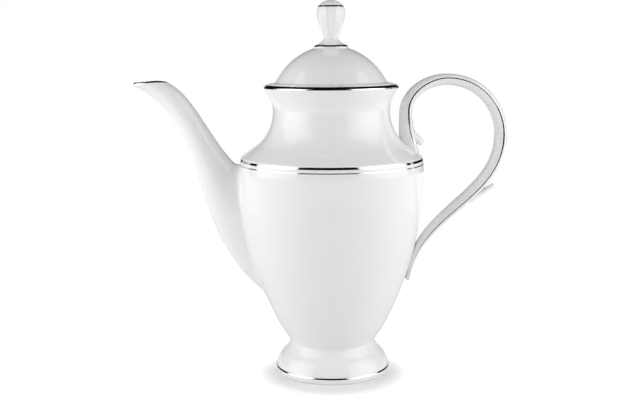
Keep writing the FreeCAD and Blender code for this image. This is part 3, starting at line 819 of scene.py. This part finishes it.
def line_tree(name):
    """Lays a narrow closed strip along a path on the surface of another piece."""
    inputs = {"Geometry": "Geometry", "Surface": "Object", "Ring steps": "Int", "Width": "Float",
              "Lift": "Float", "Sink": "Float", "Material": "Material"}
    tree, given, result = new_tree(name, "GeometryNodeTree", inputs, {"Geometry": "Geometry"})
    path = given["Geometry"]
    mesh, row, turn, here = path_rows(tree, path, given["Ring steps"])
    across = sampled(tree, path, "FLOAT_VECTOR", named_value(tree, "FLOAT_VECTOR", ACROSS_NAME), row)
    aside = times(tree, calculate(tree, "COSINE", turn), times(tree, given["Width"], 0.5))
    wide = moved_along(tree, here, across, aside)
    feeds = {"Object": given["Surface"]}
    surface = add_node(tree, "GeometryNodeObjectInfo", feeds, transform_space="ORIGINAL")
    glaze = surface.outputs["Geometry"]
    feeds = {0: glaze, "Sample Position": wide}
    nearest = add_node(tree, "GeometryNodeProximity", feeds, target_element="FACES")
    normal = add_node(tree, "GeometryNodeInputNormal").outputs[0]
    feeds = {"Mesh": glaze, "Value": normal, "Sample Position": wide}
    outward = add_node(tree, "GeometryNodeSampleNearestSurface", feeds, data_type="FLOAT_VECTOR")
    rise = calculate(tree, "SINE", turn)
    over = times(tree, calculate(tree, "MAXIMUM", rise, 0), given["Lift"])
    under = times(tree, calculate(tree, "MINIMUM", rise, 0), given["Sink"])
    height = times(tree, calculate(tree, "ADD", over, under), way_length(tree, across))
    place = moved_along(tree, nearest.outputs["Position"], outward.outputs["Value"], height)
    close_tree(tree, mesh, place, given["Material"], result)
    return tree


# Meshes and objects

def made_once(store, name, make):
    """The tree or material of this name, made when it is first asked for."""
    return store.get(name) or make(name)


def new_object(name, mesh):
    made = bpy.data.objects.new(name, mesh)
    bpy.context.scene.collection.objects.link(made)
    return made


def settle(piece):
    """Turns a piece's live modifiers into a plain smooth mesh, with closed seams and outward faces."""
    depsgraph = bpy.context.evaluated_depsgraph_get()
    mesh = bpy.data.meshes.new_from_object(piece.evaluated_get(depsgraph))
    piece.modifiers.clear()
    piece.data = mesh
    shell = bmesh.new()
    shell.from_mesh(mesh)
    bmesh.ops.remove_doubles(shell, verts=shell.verts, dist=SAME_POINT)
    bmesh.ops.dissolve_degenerate(shell, edges=shell.edges, dist=SAME_POINT)
    bmesh.ops.recalc_face_normals(shell, faces=shell.faces)
    shell.to_mesh(mesh)
    shell.free()
    mesh.shade_smooth()
    mesh.set_sharp_from_angle(angle=SHARP_TURN)
    mesh.name = piece.name
    return piece


def line_mesh(name, places):
    mesh = bpy.data.meshes.new(name)
    mesh.from_pydata(places, [(i, i + 1) for i in range(len(places) - 1)], [])
    return mesh


def run_tree(piece, name, make, values):
    """Runs a node tree with its own values on a piece's line, and settles the result."""
    modifier = piece.modifiers.new(name, "NODES")
    modifier.node_group = made_once(bpy.data.node_groups, name, make)
    for item in modifier.node_group.interface.items_tree:
        if item.in_out == "INPUT" and item.name in values:
            modifier[item.identifier] = values[item.name]
    return settle(piece)


def turned_piece(name, line, material, steps=TURN_STEPS, flutes=1, depths=None):
    mesh = line_mesh(name, [(here.x, 0, here.y) for here in line])
    depth = mesh.attributes.new(FLUTE_NAME, "FLOAT", "POINT")
    depth.data.foreach_set("value", depths or [0.0] * len(line))
    values = {"Turn steps": steps, "Flutes": flutes, "Material": material}
    return run_tree(new_object(name, mesh), "Turned piece", turned_tree, values)


def skin(name, rings, material, closed):
    """A mesh through rings of points, closed on itself or capped at both ends."""
    across = len(rings[0])
    shell = bmesh.new()
    rows = [[shell.verts.new(here) for here in ring] for ring in rings]
    pairs = list(zip(rows, rows[1:] + rows[:1])) if closed else list(zip(rows, rows[1:]))
    for first, second in pairs:
        for i in range(across):
            j = (i + 1) % across
            shell.faces.new((first[i], first[j], second[j], second[i]))
    if not closed:
        shell.faces.new(rows[0])
        shell.faces.new(rows[-1])
    bmesh.ops.recalc_face_normals(shell, faces=shell.faces)
    mesh = bpy.data.meshes.new(name)
    shell.to_mesh(mesh)
    shell.free()
    mesh.materials.append(material)
    return new_object(name, mesh)


def combine(piece, tools):
    """Joins or cuts a piece with other shapes, settles it and removes them."""
    for tool, operation in tools:
        joined = piece.modifiers.new(operation.title(), "BOOLEAN")
        joined.operation = operation
        joined.solver = "EXACT"
        joined.object = tool
    settle(piece)
    for tool, operation in tools:
        bpy.data.objects.remove(tool)


def place_piece(piece, body, slot, *nodes):
    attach(piece, body)
    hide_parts(*nodes)


# Materials

def fade(tree, value, ends, span=(0, 1), kind="LINEAR"):
    """A value that goes from one end to the other while another goes over a span."""
    feeds = {"Value": value, "From Min": span[0], "From Max": span[1], "To Min": ends[0], "To Max": ends[1]}
    return add_node(tree, "ShaderNodeMapRange", feeds, interpolation_type=kind).outputs["Result"]


def ripple_tree(name):
    """Slow waves and a fine mottle over a glazed or painted surface."""
    inputs = {"Wave scale": "Float", "Mottle scale": "Float"}
    tree, given, result = new_tree(name, "ShaderNodeTree", inputs, {"Wave": "Float", "Mottle": "Float"})
    place = add_node(tree, "ShaderNodeTexCoord").outputs["Object"]
    for label in ("Wave", "Mottle"):
        noise = add_node(tree, "ShaderNodeTexNoise", {"Vector": place, "Scale": given[label + " scale"]})
        feed(tree, result[label], noise.outputs[0])
    return tree


def new_material(name):
    made = bpy.data.materials.new(name)
    made.use_nodes = True
    return made, made.node_tree, made.node_tree.nodes["Principled BSDF"]


def add_ripple(tree, wave_scale, mottle_scale):
    ripple = made_once(bpy.data.node_groups, "Fired ripple", ripple_tree)
    feeds = {"Wave scale": wave_scale, "Mottle scale": mottle_scale}
    made = add_node(tree, "ShaderNodeGroup", feeds, node_tree=ripple)
    return made.outputs["Wave"], made.outputs["Mottle"]


def vary_colour(tree, shader, mask, first, second):
    feeds = {"Factor": mask, "A": (*first, 1), "B": (*second, 1)}
    mix = add_node(tree, "ShaderNodeMix", feeds, data_type="RGBA")
    feed(tree, shader.inputs["Base Color"], mix.outputs["Result"])


def vary_roughness(tree, shader, mask, least, most):
    feed(tree, shader.inputs["Roughness"], fade(tree, mask, (least, most)))


def add_bump(tree, shader, height, strength, distance):
    bump = add_node(tree, "ShaderNodeBump", {"Strength": strength, "Distance": distance, "Height": height})
    feed(tree, shader.inputs["Normal"], bump.outputs["Normal"])


def glazed(name):
    """White china under a clear gloss glaze that lies in slow waves."""
    finish = bpy.context.scene.pot_finish
    made, tree, shader = new_material(name)
    wave, mottle = add_ripple(tree, finish.glaze_waves, finish.glaze_mottle)
    vary_colour(tree, shader, wave, finish.porcelain, finish.porcelain_shade)
    vary_roughness(tree, shader, mottle, finish.glaze_gloss, finish.glaze_haze)
    add_bump(tree, shader, wave, finish.glaze_relief, finish.glaze_depth)
    shader.inputs["IOR"].default_value = finish.glaze_index
    return made


def brushed(name):
    """Bright fired metal with faint marks of the brush."""
    finish = bpy.context.scene.pot_finish
    made, tree, shader = new_material(name)
    wave, mottle = add_ripple(tree, finish.brush_waves, finish.brush_mottle)
    vary_colour(tree, shader, mottle, finish.platinum, finish.platinum_shade)
    vary_roughness(tree, shader, wave, finish.brush_gloss, finish.brush_haze)
    add_bump(tree, shader, mottle, finish.brush_relief, finish.brush_depth)
    shader.inputs["Metallic"].default_value = 1.0
    return made


def porcelain():
    return made_once(bpy.data.materials, "Glazed porcelain", glazed)


def platinum():
    return made_once(bpy.data.materials, "Fired platinum", brushed)


# Shape of the spout

def spout_edges(sizes, rim_level):
    """Lower and upper edge of the spout, from its lip to the body."""
    tip = point(-sizes.tip_reach, rim_level + sizes.tip_rise)
    heel = tip + point(sizes.mouth_length, sizes.mouth_rise)
    root = point(sizes.root_x, sizes.root_level)
    root_top = point(sizes.root_x, sizes.root_top)
    lower = [tip - point(0, sizes.tip_drop), tip + point(sizes.lip_reach, -sizes.lip_fall),
             root + point(-sizes.low_reach, sizes.low_rise), root]
    upper = [heel - point(0, sizes.heel_drop), heel + point(sizes.top_reach, -sizes.top_fall),
             root_top + point(-sizes.high_reach, -sizes.high_fall), root_top]
    return lower, upper


def spout_ring(sizes, edges, t, inset, rise=0, lift=0):
    """Points round the spout at t, drawn in by an inset, and raised by a share of the lip and by a lift."""
    lower = bezier(edges[0], t)
    upper = bezier(edges[1], t ** sizes.top_lead)
    middle = (lower + upper) / 2
    half = (lower - upper) / 2
    width = bezier([point(w, 0) for w in (sizes.tip_width, sizes.neck_width, sizes.root_width)], t).x / 2
    half = half * ((half.length - inset) / half.length)
    out = Vector((half.y, -half.x)).normalized()
    ring = []
    for i in range(sizes.columns):
        turn = FULL_TURN * i / sizes.columns
        lip = sizes.heel_lip + (sizes.tip_lip - sizes.heel_lip) * (1 + math.cos(turn)) / 2
        lip += sizes.lip_swell * math.sin(turn) ** 2 * (1 - math.cos(turn)) / 2
        flat = middle + half * math.cos(turn) + out * (lip * rise + lift)
        ring.append(Vector((flat.x, (width - inset) * math.sin(turn), flat.y)))
    return ring


def lip_rings(sizes, edges, start, end, lift):
    """Rings over the rounded lip, between two turns from its outside."""
    rings = []
    for turn in spread(start, end, 2 * ROUND_STEPS):
        inset = sizes.wall * (1 - math.cos(turn)) / 2 - lift * math.cos(turn)
        rings.append(spout_ring(sizes, edges, 0, inset, math.sin(turn), lift * math.sin(turn)))
    return rings


def spread_fillet(sizes, ring, outside, rim_level):
    """Spreads a ring of the spout where it comes near the body, as the glaze fills the corner."""
    middle = sum(ring, Vector()) / len(ring)
    for here in ring:
        out = (here - middle).normalized()
        reach = sizes.fillet * (1 + (sizes.top_fillet - 1) * max(out.z, 0) ** 2)
        level = min(max(here.z, outside[0].y), rim_level - reach)
        gap = math.hypot(here.x, here.y) - at_level(outside, level)
        if gap < reach:
            near = reach - max(gap, 0)
            here += out * (reach - math.sqrt(reach * reach - near * near))


def spout_rings(sizes, body, outside):
    """Up the outside, over the lip and down the inside."""
    edges = spout_edges(sizes, body.rim_level)
    outer = [spout_ring(sizes, edges, 1 - i / sizes.rows, 0) for i in range(sizes.rows + 1)]
    for ring in outer:
        spread_fillet(sizes, ring, outside, body.rim_level)
    inner = [spout_ring(sizes, edges, i / sizes.rows, sizes.wall) for i in range(sizes.rows + 1)]
    return outer + lip_rings(sizes, edges, 0.0, math.pi, 0)[1:-1] + inner


# Shape of the handle

def handle_runs(sizes):
    """The four curves along the middle of the strap, from root to tail."""
    left = point(sizes.left_x, sizes.left_level)
    crest = point(sizes.crest_x, sizes.crest_level)
    back = point(sizes.back_x, sizes.back_level)
    tail = point(sizes.tail_x, sizes.tail_level)
    root = point(sizes.root_x, sizes.root_level)
    root_run = [root, root + step(sizes.root_reach, sizes.root_angle), left - point(0, sizes.root_pull), left]
    rise_run = [left, left + point(0, sizes.rise_pull), crest - point(sizes.crest_pull, 0), crest]
    fall_run = [crest, crest + point(sizes.fall_pull, 0), back + point(0, sizes.back_pull), back]
    tail_pole = tail + step(sizes.tail_pull, UP - sizes.tail_angle)
    tail_run = [back, back - point(0, sizes.run_pull), tail_pole, tail]
    return root_run, rise_run, fall_run, tail_run


def strap_place(run, t):
    """Place and outward way at t on a run of the strap."""
    slope = bezier_slope(run, t)
    return bezier(run, t), Vector((-slope.y, slope.x))


def strap_stations(sizes):
    """Place, outward way, thickness, depth and arris along the whole strap."""
    root_run, rise_run, fall_run, tail_run = handle_runs(sizes)
    root = Vector((sizes.root_thickness, sizes.root_depth, sizes.root_arris))
    left = Vector((sizes.thickness, sizes.depth, sizes.root_arris))
    crest = Vector((sizes.crest_thickness, sizes.depth, sizes.crest_arris))
    back = Vector((sizes.thickness, sizes.depth, sizes.back_arris))
    tail = Vector((sizes.tail_thickness, sizes.depth, sizes.tail_arris))
    spans = [
        (root_run, ROOT_STEPS, root, left, sizes.root_flare),
        (rise_run, RISE_STEPS, left, crest, 1),
        (fall_run, FALL_STEPS, crest, back, 1),
        (tail_run, TAIL_STEPS, back, tail, sizes.tail_taper),
    ]
    stations = []
    for run, steps, start, end, taper in spans:
        for i in range(1 if stations else 0, steps + 1):
            t = i / steps
            stations.append(strap_place(run, t) + tuple(start.lerp(end, t ** taper)))
    return stations


def solid(flat, depth):
    return Vector((flat.x, depth, flat.y))


def strap_ring(sizes, middle, outward, thickness, depth, arris):
    """A pointed oval across the strap, with a soft arris front and back."""
    half = outward * (thickness / 2)
    outer, inner = solid(middle + half, 0), solid(middle - half, 0)
    ring = []
    for side in (-1, 1):
        edge = Vector((0, side * depth / 2, 0))
        peak = solid(middle + half * arris, 0) + edge
        first, second = (outer, inner) if side < 0 else (inner, outer)
        up = [first, first + edge * sizes.fullness, peak]
        down = [peak, second + edge * sizes.fullness, second]
        rise = [bezier(up, t) for t in spread(0.0, sizes.arris_start, FACE_STEPS)]
        fall = [bezier(down, t) for t in spread(1 - sizes.arris_start, 1.0, FACE_STEPS)]
        ring += rise + bezier_run([rise[-1], peak, fall[0]], ROUND_STEPS)[1:-1] + fall[:-1]
    return ring


def tipped(stations, reach):
    """Adds a rounded tip to a run of stations."""
    middle, outward, thickness, depth, arris = stations[-1]
    ahead = Vector((outward.y, -outward.x))
    rounds = []
    for i in range(1, ROUND_STEPS + 1):
        turn = TIP_TURN * i / ROUND_STEPS
        share_left = math.cos(turn)
        place = middle + ahead * (reach * math.sin(turn))
        rounds.append((place, outward, thickness * share_left, depth * share_left, arris))
    return stations + rounds


def leaf_run(sizes):
    left = point(sizes.left_x, sizes.left_level)
    start = left + point(sizes.leaf_inset, -sizes.leaf_start)
    tip = left + point(sizes.leaf_reach, -sizes.leaf_drop)
    tip_pole = tip + step(sizes.leaf_tip_pull, sizes.leaf_tip_angle)
    return [start, start - point(0, sizes.leaf_pull), tip_pole, tip]


def spur_run(sizes):
    middle, outward = strap_place(handle_runs(sizes)[3], sizes.spur_start)
    start = middle + outward * sizes.spur_inset
    return [start, start + step(sizes.spur_length, sizes.spur_angle)]


def leaf_stations(sizes, run, thickness, tip_thickness, arris):
    """Stations of the leaf or the spur, which thin towards a rounded tip."""
    start = Vector((thickness, sizes.spur_depth))
    end = Vector((tip_thickness, sizes.spur_tip_depth))
    stations = []
    for i in range(LEAF_STEPS + 1):
        t = i / LEAF_STEPS
        thick, depth = start.lerp(end, t)
        stations.append(strap_place(run, t) + (thick, depth, arris))
    return tipped(stations, tip_thickness / 2)


def arris_path(sizes, side):
    """The platinum line from the leaf's tip onto the strap, beside the strap's arris and down to the tail."""
    stations = strap_stations(sizes)[ROOT_STEPS:]
    arris_line = [middle + outward * (thickness / 2 * arris * sizes.line_share)
                  for middle, outward, thickness, _, arris in stations]
    tip = leaf_run(sizes)[-1] + point(-sizes.line_tip_inset, -sizes.line_tip_drop)
    leaf_line = bezier_run([tip, tip + step(sizes.line_tip_pull, sizes.line_tip_angle),
                            arris_line[0] - point(0, sizes.line_root_pull), arris_line[0]], ROOT_STEPS)
    return [solid(here, side * sizes.depth / 2) for here in leaf_line[:-1] + arris_line]


def ways_across(path):
    """The way across a line at each of its points, which shortens towards both ends."""
    last = len(path) - 1
    ways = []
    for i in range(len(path)):
        way = path[min(i + 1, last)] - path[max(i - 1, 0)]
        taper = min(1, i / LINE_TAPER_STEPS, (last - i) / LINE_TAPER_STEPS)
        ways.append(way.cross(Vector((0, 1, 0))).normalized() * taper)
    return ways


# Operators

def body_block(scene, name):
    """The body's outside, solid within, to trim what is luted to it."""
    outside = body_outside(scene.pot_body, scene.pot_foot)
    line = [point(0, outside[0].y)] + outside + [point(0, outside[-1].y)]
    return turned_piece(name, line, porcelain())


def port_drill(body):
    """A rod from the pot's axis out through the urn's wall, as wide as the port."""
    radius = body.port_diameter / 2
    ring = []
    for i in range(PORT_STEPS):
        turn = FULL_TURN * i / PORT_STEPS
        ring.append(Vector((0, radius * math.cos(turn), body.port_level + radius * math.sin(turn))))
    far = Vector((-body.belly_radius - body.wall, 0, 0))
    return skin("port_drill", [ring, [here + far for here in ring]], porcelain(), False)


class POT_OT_body(bpy.types.Operator):
    """Turn the hollow body, with its seat for the lid and its port into the spout"""
    bl_idname = "coffee_pot.body"
    bl_label = "Body"

    def execute(self, context):
        body = context.scene.pot_body
        piece = turned_piece("pot_body", body_outline(body, context.scene.pot_foot), porcelain())
        combine(piece, [(port_drill(body), "DIFFERENCE")])
        place_piece(piece, "pot", "porcelain", "urn", "neck")
        return {"FINISHED"}


class POT_OT_foot(bpy.types.Operator):
    """Turn the pedestal foot"""
    bl_idname = "coffee_pot.foot"
    bl_label = "Foot"

    def execute(self, context):
        line = foot_outline(context.scene.pot_body, context.scene.pot_foot)
        piece = turned_piece("pedestal_foot_glazed", line, porcelain())
        place_piece(piece, "pot", "porcelain", "pedestal_foot")
        return {"FINISHED"}


class POT_OT_spout(bpy.types.Operator):
    """Draw the swan-neck spout and trim it to the body"""
    bl_idname = "coffee_pot.spout"
    bl_label = "Spout"

    def execute(self, context):
        scene = context.scene
        outside = body_outside(scene.pot_body, scene.pot_foot)
        rings = spout_rings(scene.pot_spout, scene.pot_body, outside)
        piece = skin("spout_glazed", rings, porcelain(), True)
        combine(piece, [(body_block(scene, "spout_block"), "DIFFERENCE")])
        place_piece(piece, "pot", "porcelain", "spout")
        return {"FINISHED"}


class POT_OT_spout_band(bpy.types.Operator):
    """Lay the platinum round the spout's mouth"""
    bl_idname = "coffee_pot.spout_band"
    bl_label = "Spout band"

    def execute(self, context):
        sizes = context.scene.pot_spout
        bands = context.scene.pot_bands
        edges = spout_edges(sizes, context.scene.pot_body.rim_level)
        over, under = [lip_rings(sizes, edges, bands.lip_start, bands.lip_end, lift)
                       for lift in (bands.lift, -bands.sink)]
        piece = skin("spout_lip_platinum", over + under[::-1], platinum(), True)
        settle(piece)
        place_piece(piece, "pot", "platinum", "spout_lip_band")
        return {"FINISHED"}


def handle_part(sizes, name, stations):
    return skin(name, [strap_ring(sizes, *station) for station in stations], porcelain(), False)


class POT_OT_handle(bpy.types.Operator):
    """Loft the scroll handle, join its leaf and thumb spur to it and trim it to the body"""
    bl_idname = "coffee_pot.handle"
    bl_label = "Handle"

    def execute(self, context):
        sizes = context.scene.pot_handle
        strap = handle_part(sizes, "handle_glazed", tipped(strap_stations(sizes), sizes.tail_thickness / 2))
        leaf = handle_part(sizes, "leaf", leaf_stations(
            sizes, leaf_run(sizes), sizes.leaf_thickness, sizes.leaf_tip_thickness, sizes.leaf_arris))
        spur = handle_part(sizes, "spur", leaf_stations(
            sizes, spur_run(sizes), sizes.spur_thickness, sizes.spur_tip_thickness, 0))
        block = body_block(context.scene, "handle_block")
        combine(strap, [(leaf, "UNION"), (spur, "UNION"), (block, "DIFFERENCE")])
        place_piece(strap, "pot", "porcelain", "handle")
        return {"FINISHED"}


class POT_OT_handle_lines(bpy.types.Operator):
    """Paint the platinum lines along the handle's front and back"""
    bl_idname = "coffee_pot.handle_lines"
    bl_label = "Handle lines"

    def execute(self, context):
        bands = context.scene.pot_bands
        values = {
            "Surface": bpy.data.objects["handle_glazed"], "Ring steps": LINE_RING_STEPS,
            "Width": bands.handle_width, "Lift": bands.lift, "Sink": bands.sink, "Material": platinum()}
        for name, side in (("handle_line_front", -1), ("handle_line_back", 1)):
            path = arris_path(context.scene.pot_handle, side)
            mesh = line_mesh(name + "_platinum", path)
            across = mesh.attributes.new(ACROSS_NAME, "FLOAT_VECTOR", "POINT")
            for item, way in zip(across.data, ways_across(path)):
                item.vector = way
            piece = run_tree(new_object(name + "_platinum", mesh), "Line on a surface", line_tree, values)
            place_piece(piece, "pot", "platinum", name)
        return {"FINISHED"}


class POT_OT_lid(bpy.types.Operator):
    """Turn the lid's dome with its flange and collar"""
    bl_idname = "coffee_pot.lid"
    bl_label = "Lid"

    def execute(self, context):
        scene = context.scene
        line = lid_outline(scene.pot_body, scene.pot_lid, scene.pot_knob)
        piece = turned_piece("lid_dome_glazed", line, porcelain())
        place_piece(piece, "lid", "porcelain", "lid_dome")
        return {"FINISHED"}


class POT_OT_knob(bpy.types.Operator):
    """Turn the fluted knob"""
    bl_idname = "coffee_pot.knob"
    bl_label = "Knob"

    def execute(self, context):
        flutes = context.scene.pot_knob.flutes
        line, depths = knob_outline(context.scene.pot_lid, context.scene.pot_knob)
        piece = turned_piece("lid_knob_glazed", line, porcelain(), flutes * FLUTE_STEPS, flutes, depths)
        place_piece(piece, "lid", "porcelain", "lid_knob")
        return {"FINISHED"}


class POT_OT_bands(bpy.types.Operator):
    """Turn the platinum bands of body, foot, lid and knob"""
    bl_idname = "coffee_pot.bands"
    bl_label = "Bands"

    def execute(self, context):
        scene = context.scene
        body, foot, bands = scene.pot_body, scene.pot_foot, scene.pot_bands
        lid, knob = scene.pot_lid, scene.pot_knob
        outside = body_outside(body, foot)
        skirt = foot_outside(body, foot)[::-1]
        band_top = body.shoulder_level - bands.shoulder_drop
        band_foot = band_top - bands.shoulder_width
        line_top = band_foot - bands.line_gap
        line_foot = line_top - bands.line_width
        edge_foot = foot.edge_top - bands.foot_width
        lines = [
            ("rim_band", "pot", rim_line(body, bands, outside)),
            ("shoulder_band", "pot", between(outside, band_foot, band_top, WIDE_BAND_STEPS)),
            ("shoulder_line", "pot", between(outside, line_foot, line_top, NARROW_BAND_STEPS)),
            ("foot_band", "pot", between(skirt, edge_foot, foot.edge_top, FOOT_BAND_STEPS)),
            ("lid_edge_band", "lid", flange_line(body, lid, knob, bands)),
            ("knob_base_band", "lid", base_line(lid, knob, bands)),
            ("knob_crown_band", "lid", crown_line(knob, bands)),
        ]
        for name, owner, line in lines:
            piece = turned_piece(name + "_platinum", band_outline(line, bands.lift, bands.sink), platinum())
            place_piece(piece, owner, "platinum", name)
        return {"FINISHED"}


# The studio

def around(turn, distance, level):
    """A place at a turn from the camera's side."""
    return Vector((distance * math.sin(turn), -distance * math.cos(turn), level))


def add_lamp(name, studio, side):
    """A broad lamp beside the pot, which neither the camera nor the gloss shows."""
    lamp = bpy.data.lights.new(name, "AREA")
    lamp.shape = "RECTANGLE"
    lamp.size = studio.lamp_width
    lamp.size_y = studio.lamp_height
    lamp.energy = studio.lamp_strength * math.pi * studio.lamp_width * studio.lamp_height
    made = new_object(name, lamp)
    target = Vector((0, 0, studio.lamp_height / 2))
    made.location = around(side * studio.lamp_turn, studio.lamp_distance, target.z)
    made.rotation_euler = (target - made.location).to_track_quat("-Z", "Y").to_euler()
    made.visible_camera = False
    made.visible_glossy = False


def card(name, places, faces, chart, material):
    """A card that only reflections show, with a flat map of its own."""
    mesh = bpy.data.meshes.new(name)
    mesh.from_pydata(places, [], faces)
    flat = mesh.uv_layers.new(name="chart")
    for loop in mesh.loops:
        flat.data[loop.index].uv = chart[loop.vertex_index]
    mesh.materials.append(material)
    made = new_object(name, mesh)
    made.visible_camera = False
    made.visible_diffuse = False
    made.visible_shadow = False


def curved_card(name, studio, start, end, material):
    """A card bent round the pot, between two turns from the camera's side."""
    chart = [(i / CARD_STEPS, up) for up in (0, 1) for i in range(CARD_STEPS + 1)]
    places = []
    for across, up in chart:
        turn = start + (end - start) * across
        places.append(around(turn, studio.card_distance, studio.card_height * up))
    row = CARD_STEPS + 1
    faces = [(i, i + 1, i + 1 + row, i + row) for i in range(CARD_STEPS)]
    card(name, places, faces, chart, material)


def cover_card(name, studio, material):
    """A flat round card over the top of the curved ones."""
    turns = spread(0, FULL_TURN, CARD_STEPS)[:-1]
    places = [around(turn, studio.card_distance, studio.card_height) for turn in turns]
    card(name, places, [tuple(range(CARD_STEPS))], [(0, 0)] * CARD_STEPS, material)


def dark_cloth(studio):
    made, _, shader = new_material("Dark cloth")
    shader.inputs["Base Color"].default_value = (*[studio.cloth_white] * 3, 1)
    shader.inputs["Roughness"].default_value = 1.0
    shader.inputs["Specular IOR Level"].default_value = 0.0
    return made


def bare_material(name):
    made = bpy.data.materials.new(name)
    made.use_nodes = True
    made.node_tree.nodes.clear()
    return made, made.node_tree


def glow(tree, strength):
    return add_node(tree, "ShaderNodeEmission", {"Strength": strength}).outputs[0]


def show(tree, shader, kind="ShaderNodeOutputMaterial"):
    add_node(tree, kind, {"Surface": shader})


def glowing_material(name):
    """A material for a lit card, its tree and the two ways over the card's map."""
    made, tree = bare_material(name)
    made.cycles.emission_sampling = "NONE"
    place = add_node(tree, "ShaderNodeTexCoord").outputs["UV"]
    return made, tree, add_node(tree, "ShaderNodeSeparateXYZ", {0: place}).outputs


def softbox_glow(studio):
    """A lit softbox that fades towards its sides and its top."""
    made, tree, chart = glowing_material("Softbox")
    sides = calculate(tree, "SINE", times(tree, chart["X"], math.pi))
    top = calculate(tree, "COSINE", times(tree, chart["Y"], UP))
    ends = (studio.box_strength * studio.box_edge, studio.box_strength)
    show(tree, glow(tree, fade(tree, times(tree, sides, top), ends)))
    return made


def wall_glow(studio):
    """The wall far behind the pot, light at its foot and dark above."""
    made, tree, chart = glowing_material("Far wall")
    span = (studio.wall_low, studio.wall_high)
    show(tree, glow(tree, fade(tree, chart["Y"], (studio.wall_strength, 0), span, "SMOOTHSTEP")))
    return made


def white_table(studio):
    """Matt white that takes the pot's real shadow, with a camera-only glow that is held off in a painted
    shadow patch round a point in front of the pot, and goes over into the white background further out.
    """
    made, tree = bare_material("White table")
    matt = add_node(tree, "ShaderNodeBsdfDiffuse", {"Color": (*[studio.floor_white] * 3, 1)})
    place = add_node(tree, "ShaderNodeTexCoord").outputs["Object"]
    reach = way_length(tree, moved_by(tree, place, (0, studio.shadow_front, 0)))
    # Painted shadow: no glow within shadow_near of that point, full white past shadow_far, so the floor there
    # shows its darker lit grey on top of the real shadow
    white = fade(tree, reach, (0, 1), (studio.shadow_near, studio.shadow_far), "SMOOTHSTEP")
    seen = add_node(tree, "ShaderNodeLightPath").outputs["Is Camera Ray"]
    light = glow(tree, times(tree, seen, white))
    show(tree, add_node(tree, "ShaderNodeAddShader", {0: matt.outputs[0], 1: light}).outputs[0])
    return made


class POT_OT_stage(bpy.types.Operator):
    """Set up the camera, the background, the table, the lamps and the cards that the gloss shows"""
    bl_idname = "coffee_pot.stage"
    bl_label = "Studio"

    def execute(self, context):
        scene = context.scene
        studio = scene.pot_studio
        self.make_camera(scene, studio)
        self.make_world(scene, studio)
        self.make_floor(studio)
        self.make_lights(studio)
        scene.view_settings.view_transform = "Standard"
        return {"FINISHED"}

    def make_camera(self, scene, studio):
        data = bpy.data.cameras.new("camera")
        data.lens = studio.focal
        data.sensor_width = FILM_WIDTH
        place = Matrix.Translation((studio.camera_x, studio.camera_y, studio.camera_z))
        pitch = Matrix.Rotation(UP - studio.camera_pitch, 4, "X")
        roll = Matrix.Rotation(-studio.camera_roll, 4, "Z")
        made = new_object("camera", data)
        made.matrix_world = place @ pitch @ roll
        scene.camera = made

    def make_world(self, scene, studio):
        world = bpy.data.worlds.new("white_background")
        scene.world = world
        world.use_nodes = True
        tree = world.node_tree
        tree.nodes.clear()
        seen = add_node(tree, "ShaderNodeLightPath").outputs
        shown = calculate(tree, "MAXIMUM", seen["Is Camera Ray"], seen["Is Glossy Ray"])
        shown = calculate(tree, "MAXIMUM", shown, seen["Is Transmission Ray"])
        feeds = {"Color": (1, 1, 1, 1), "Strength": fade(tree, shown, (studio.fill, 1))}
        light = add_node(tree, "ShaderNodeBackground", feeds)
        show(tree, light.outputs[0], "ShaderNodeOutputWorld")

    def make_floor(self, studio):
        shell = bmesh.new()
        bmesh.ops.create_circle(shell, cap_ends=True, segments=TURN_STEPS, radius=studio.floor_radius)
        mesh = bpy.data.meshes.new("floor")
        shell.to_mesh(mesh)
        shell.free()
        mesh.materials.append(white_table(studio))
        new_object("floor", mesh)

    def make_lights(self, studio):
        cloth = dark_cloth(studio)
        box = softbox_glow(studio)
        near_edges = []
        for name, side in (("left", -1), ("right", 1)):
            add_lamp("lamp_" + name, studio, side)
            near_edges.append(side * studio.box_start - studio.box_turn)
            far_edge = side * studio.box_end
            curved_card("softbox_" + name, studio, near_edges[-1], far_edge, box)
            curved_card("rear_cloth_" + name, studio, far_edge, side * studio.wall_start, cloth)
        curved_card("front_cloth", studio, *near_edges, cloth)
        curved_card("rear_wall", studio, studio.wall_start, FULL_TURN - studio.wall_start, wall_glow(studio))
        cover_card("cover_cloth", studio, cloth)


OPERATORS = (POT_OT_body, POT_OT_foot, POT_OT_spout, POT_OT_spout_band, POT_OT_handle, POT_OT_handle_lines,
             POT_OT_lid, POT_OT_knob, POT_OT_bands, POT_OT_stage)


class POT_PT_sidebar(bpy.types.Panel):
    """Lists the steps that build the pot"""
    bl_idname = "POT_PT_sidebar"
    bl_label = "Coffee pot"
    bl_space_type = "VIEW_3D"
    bl_region_type = "UI"
    bl_category = "Coffee pot"

    def draw(self, context):
        for made in OPERATORS:
            self.layout.operator(made.bl_idname)
        for name, group in GROUPS.items():
            box = self.layout.box()
            box.label(text=group.__name__)
            for prop in group.__annotations__:
                box.prop(getattr(context.scene, name), prop)


def register():
    for group in GROUPS.values():
        bpy.utils.register_class(group)
    for name, group in GROUPS.items():
        setattr(bpy.types.Scene, name, bpy.props.PointerProperty(type=group))
    for made in OPERATORS + (POT_PT_sidebar,):
        bpy.utils.register_class(made)


def unregister():
    for made in (POT_PT_sidebar,) + OPERATORS[::-1]:
        bpy.utils.unregister_class(made)
    for name in GROUPS:
        delattr(bpy.types.Scene, name)
    for group in reversed(GROUPS.values()):
        bpy.utils.unregister_class(group)


def main():
    register()
    for made in OPERATORS:
        group, name = made.bl_idname.split(".")
        getattr(getattr(bpy.ops, group), name)()


if __name__ == "__main__":
    main()
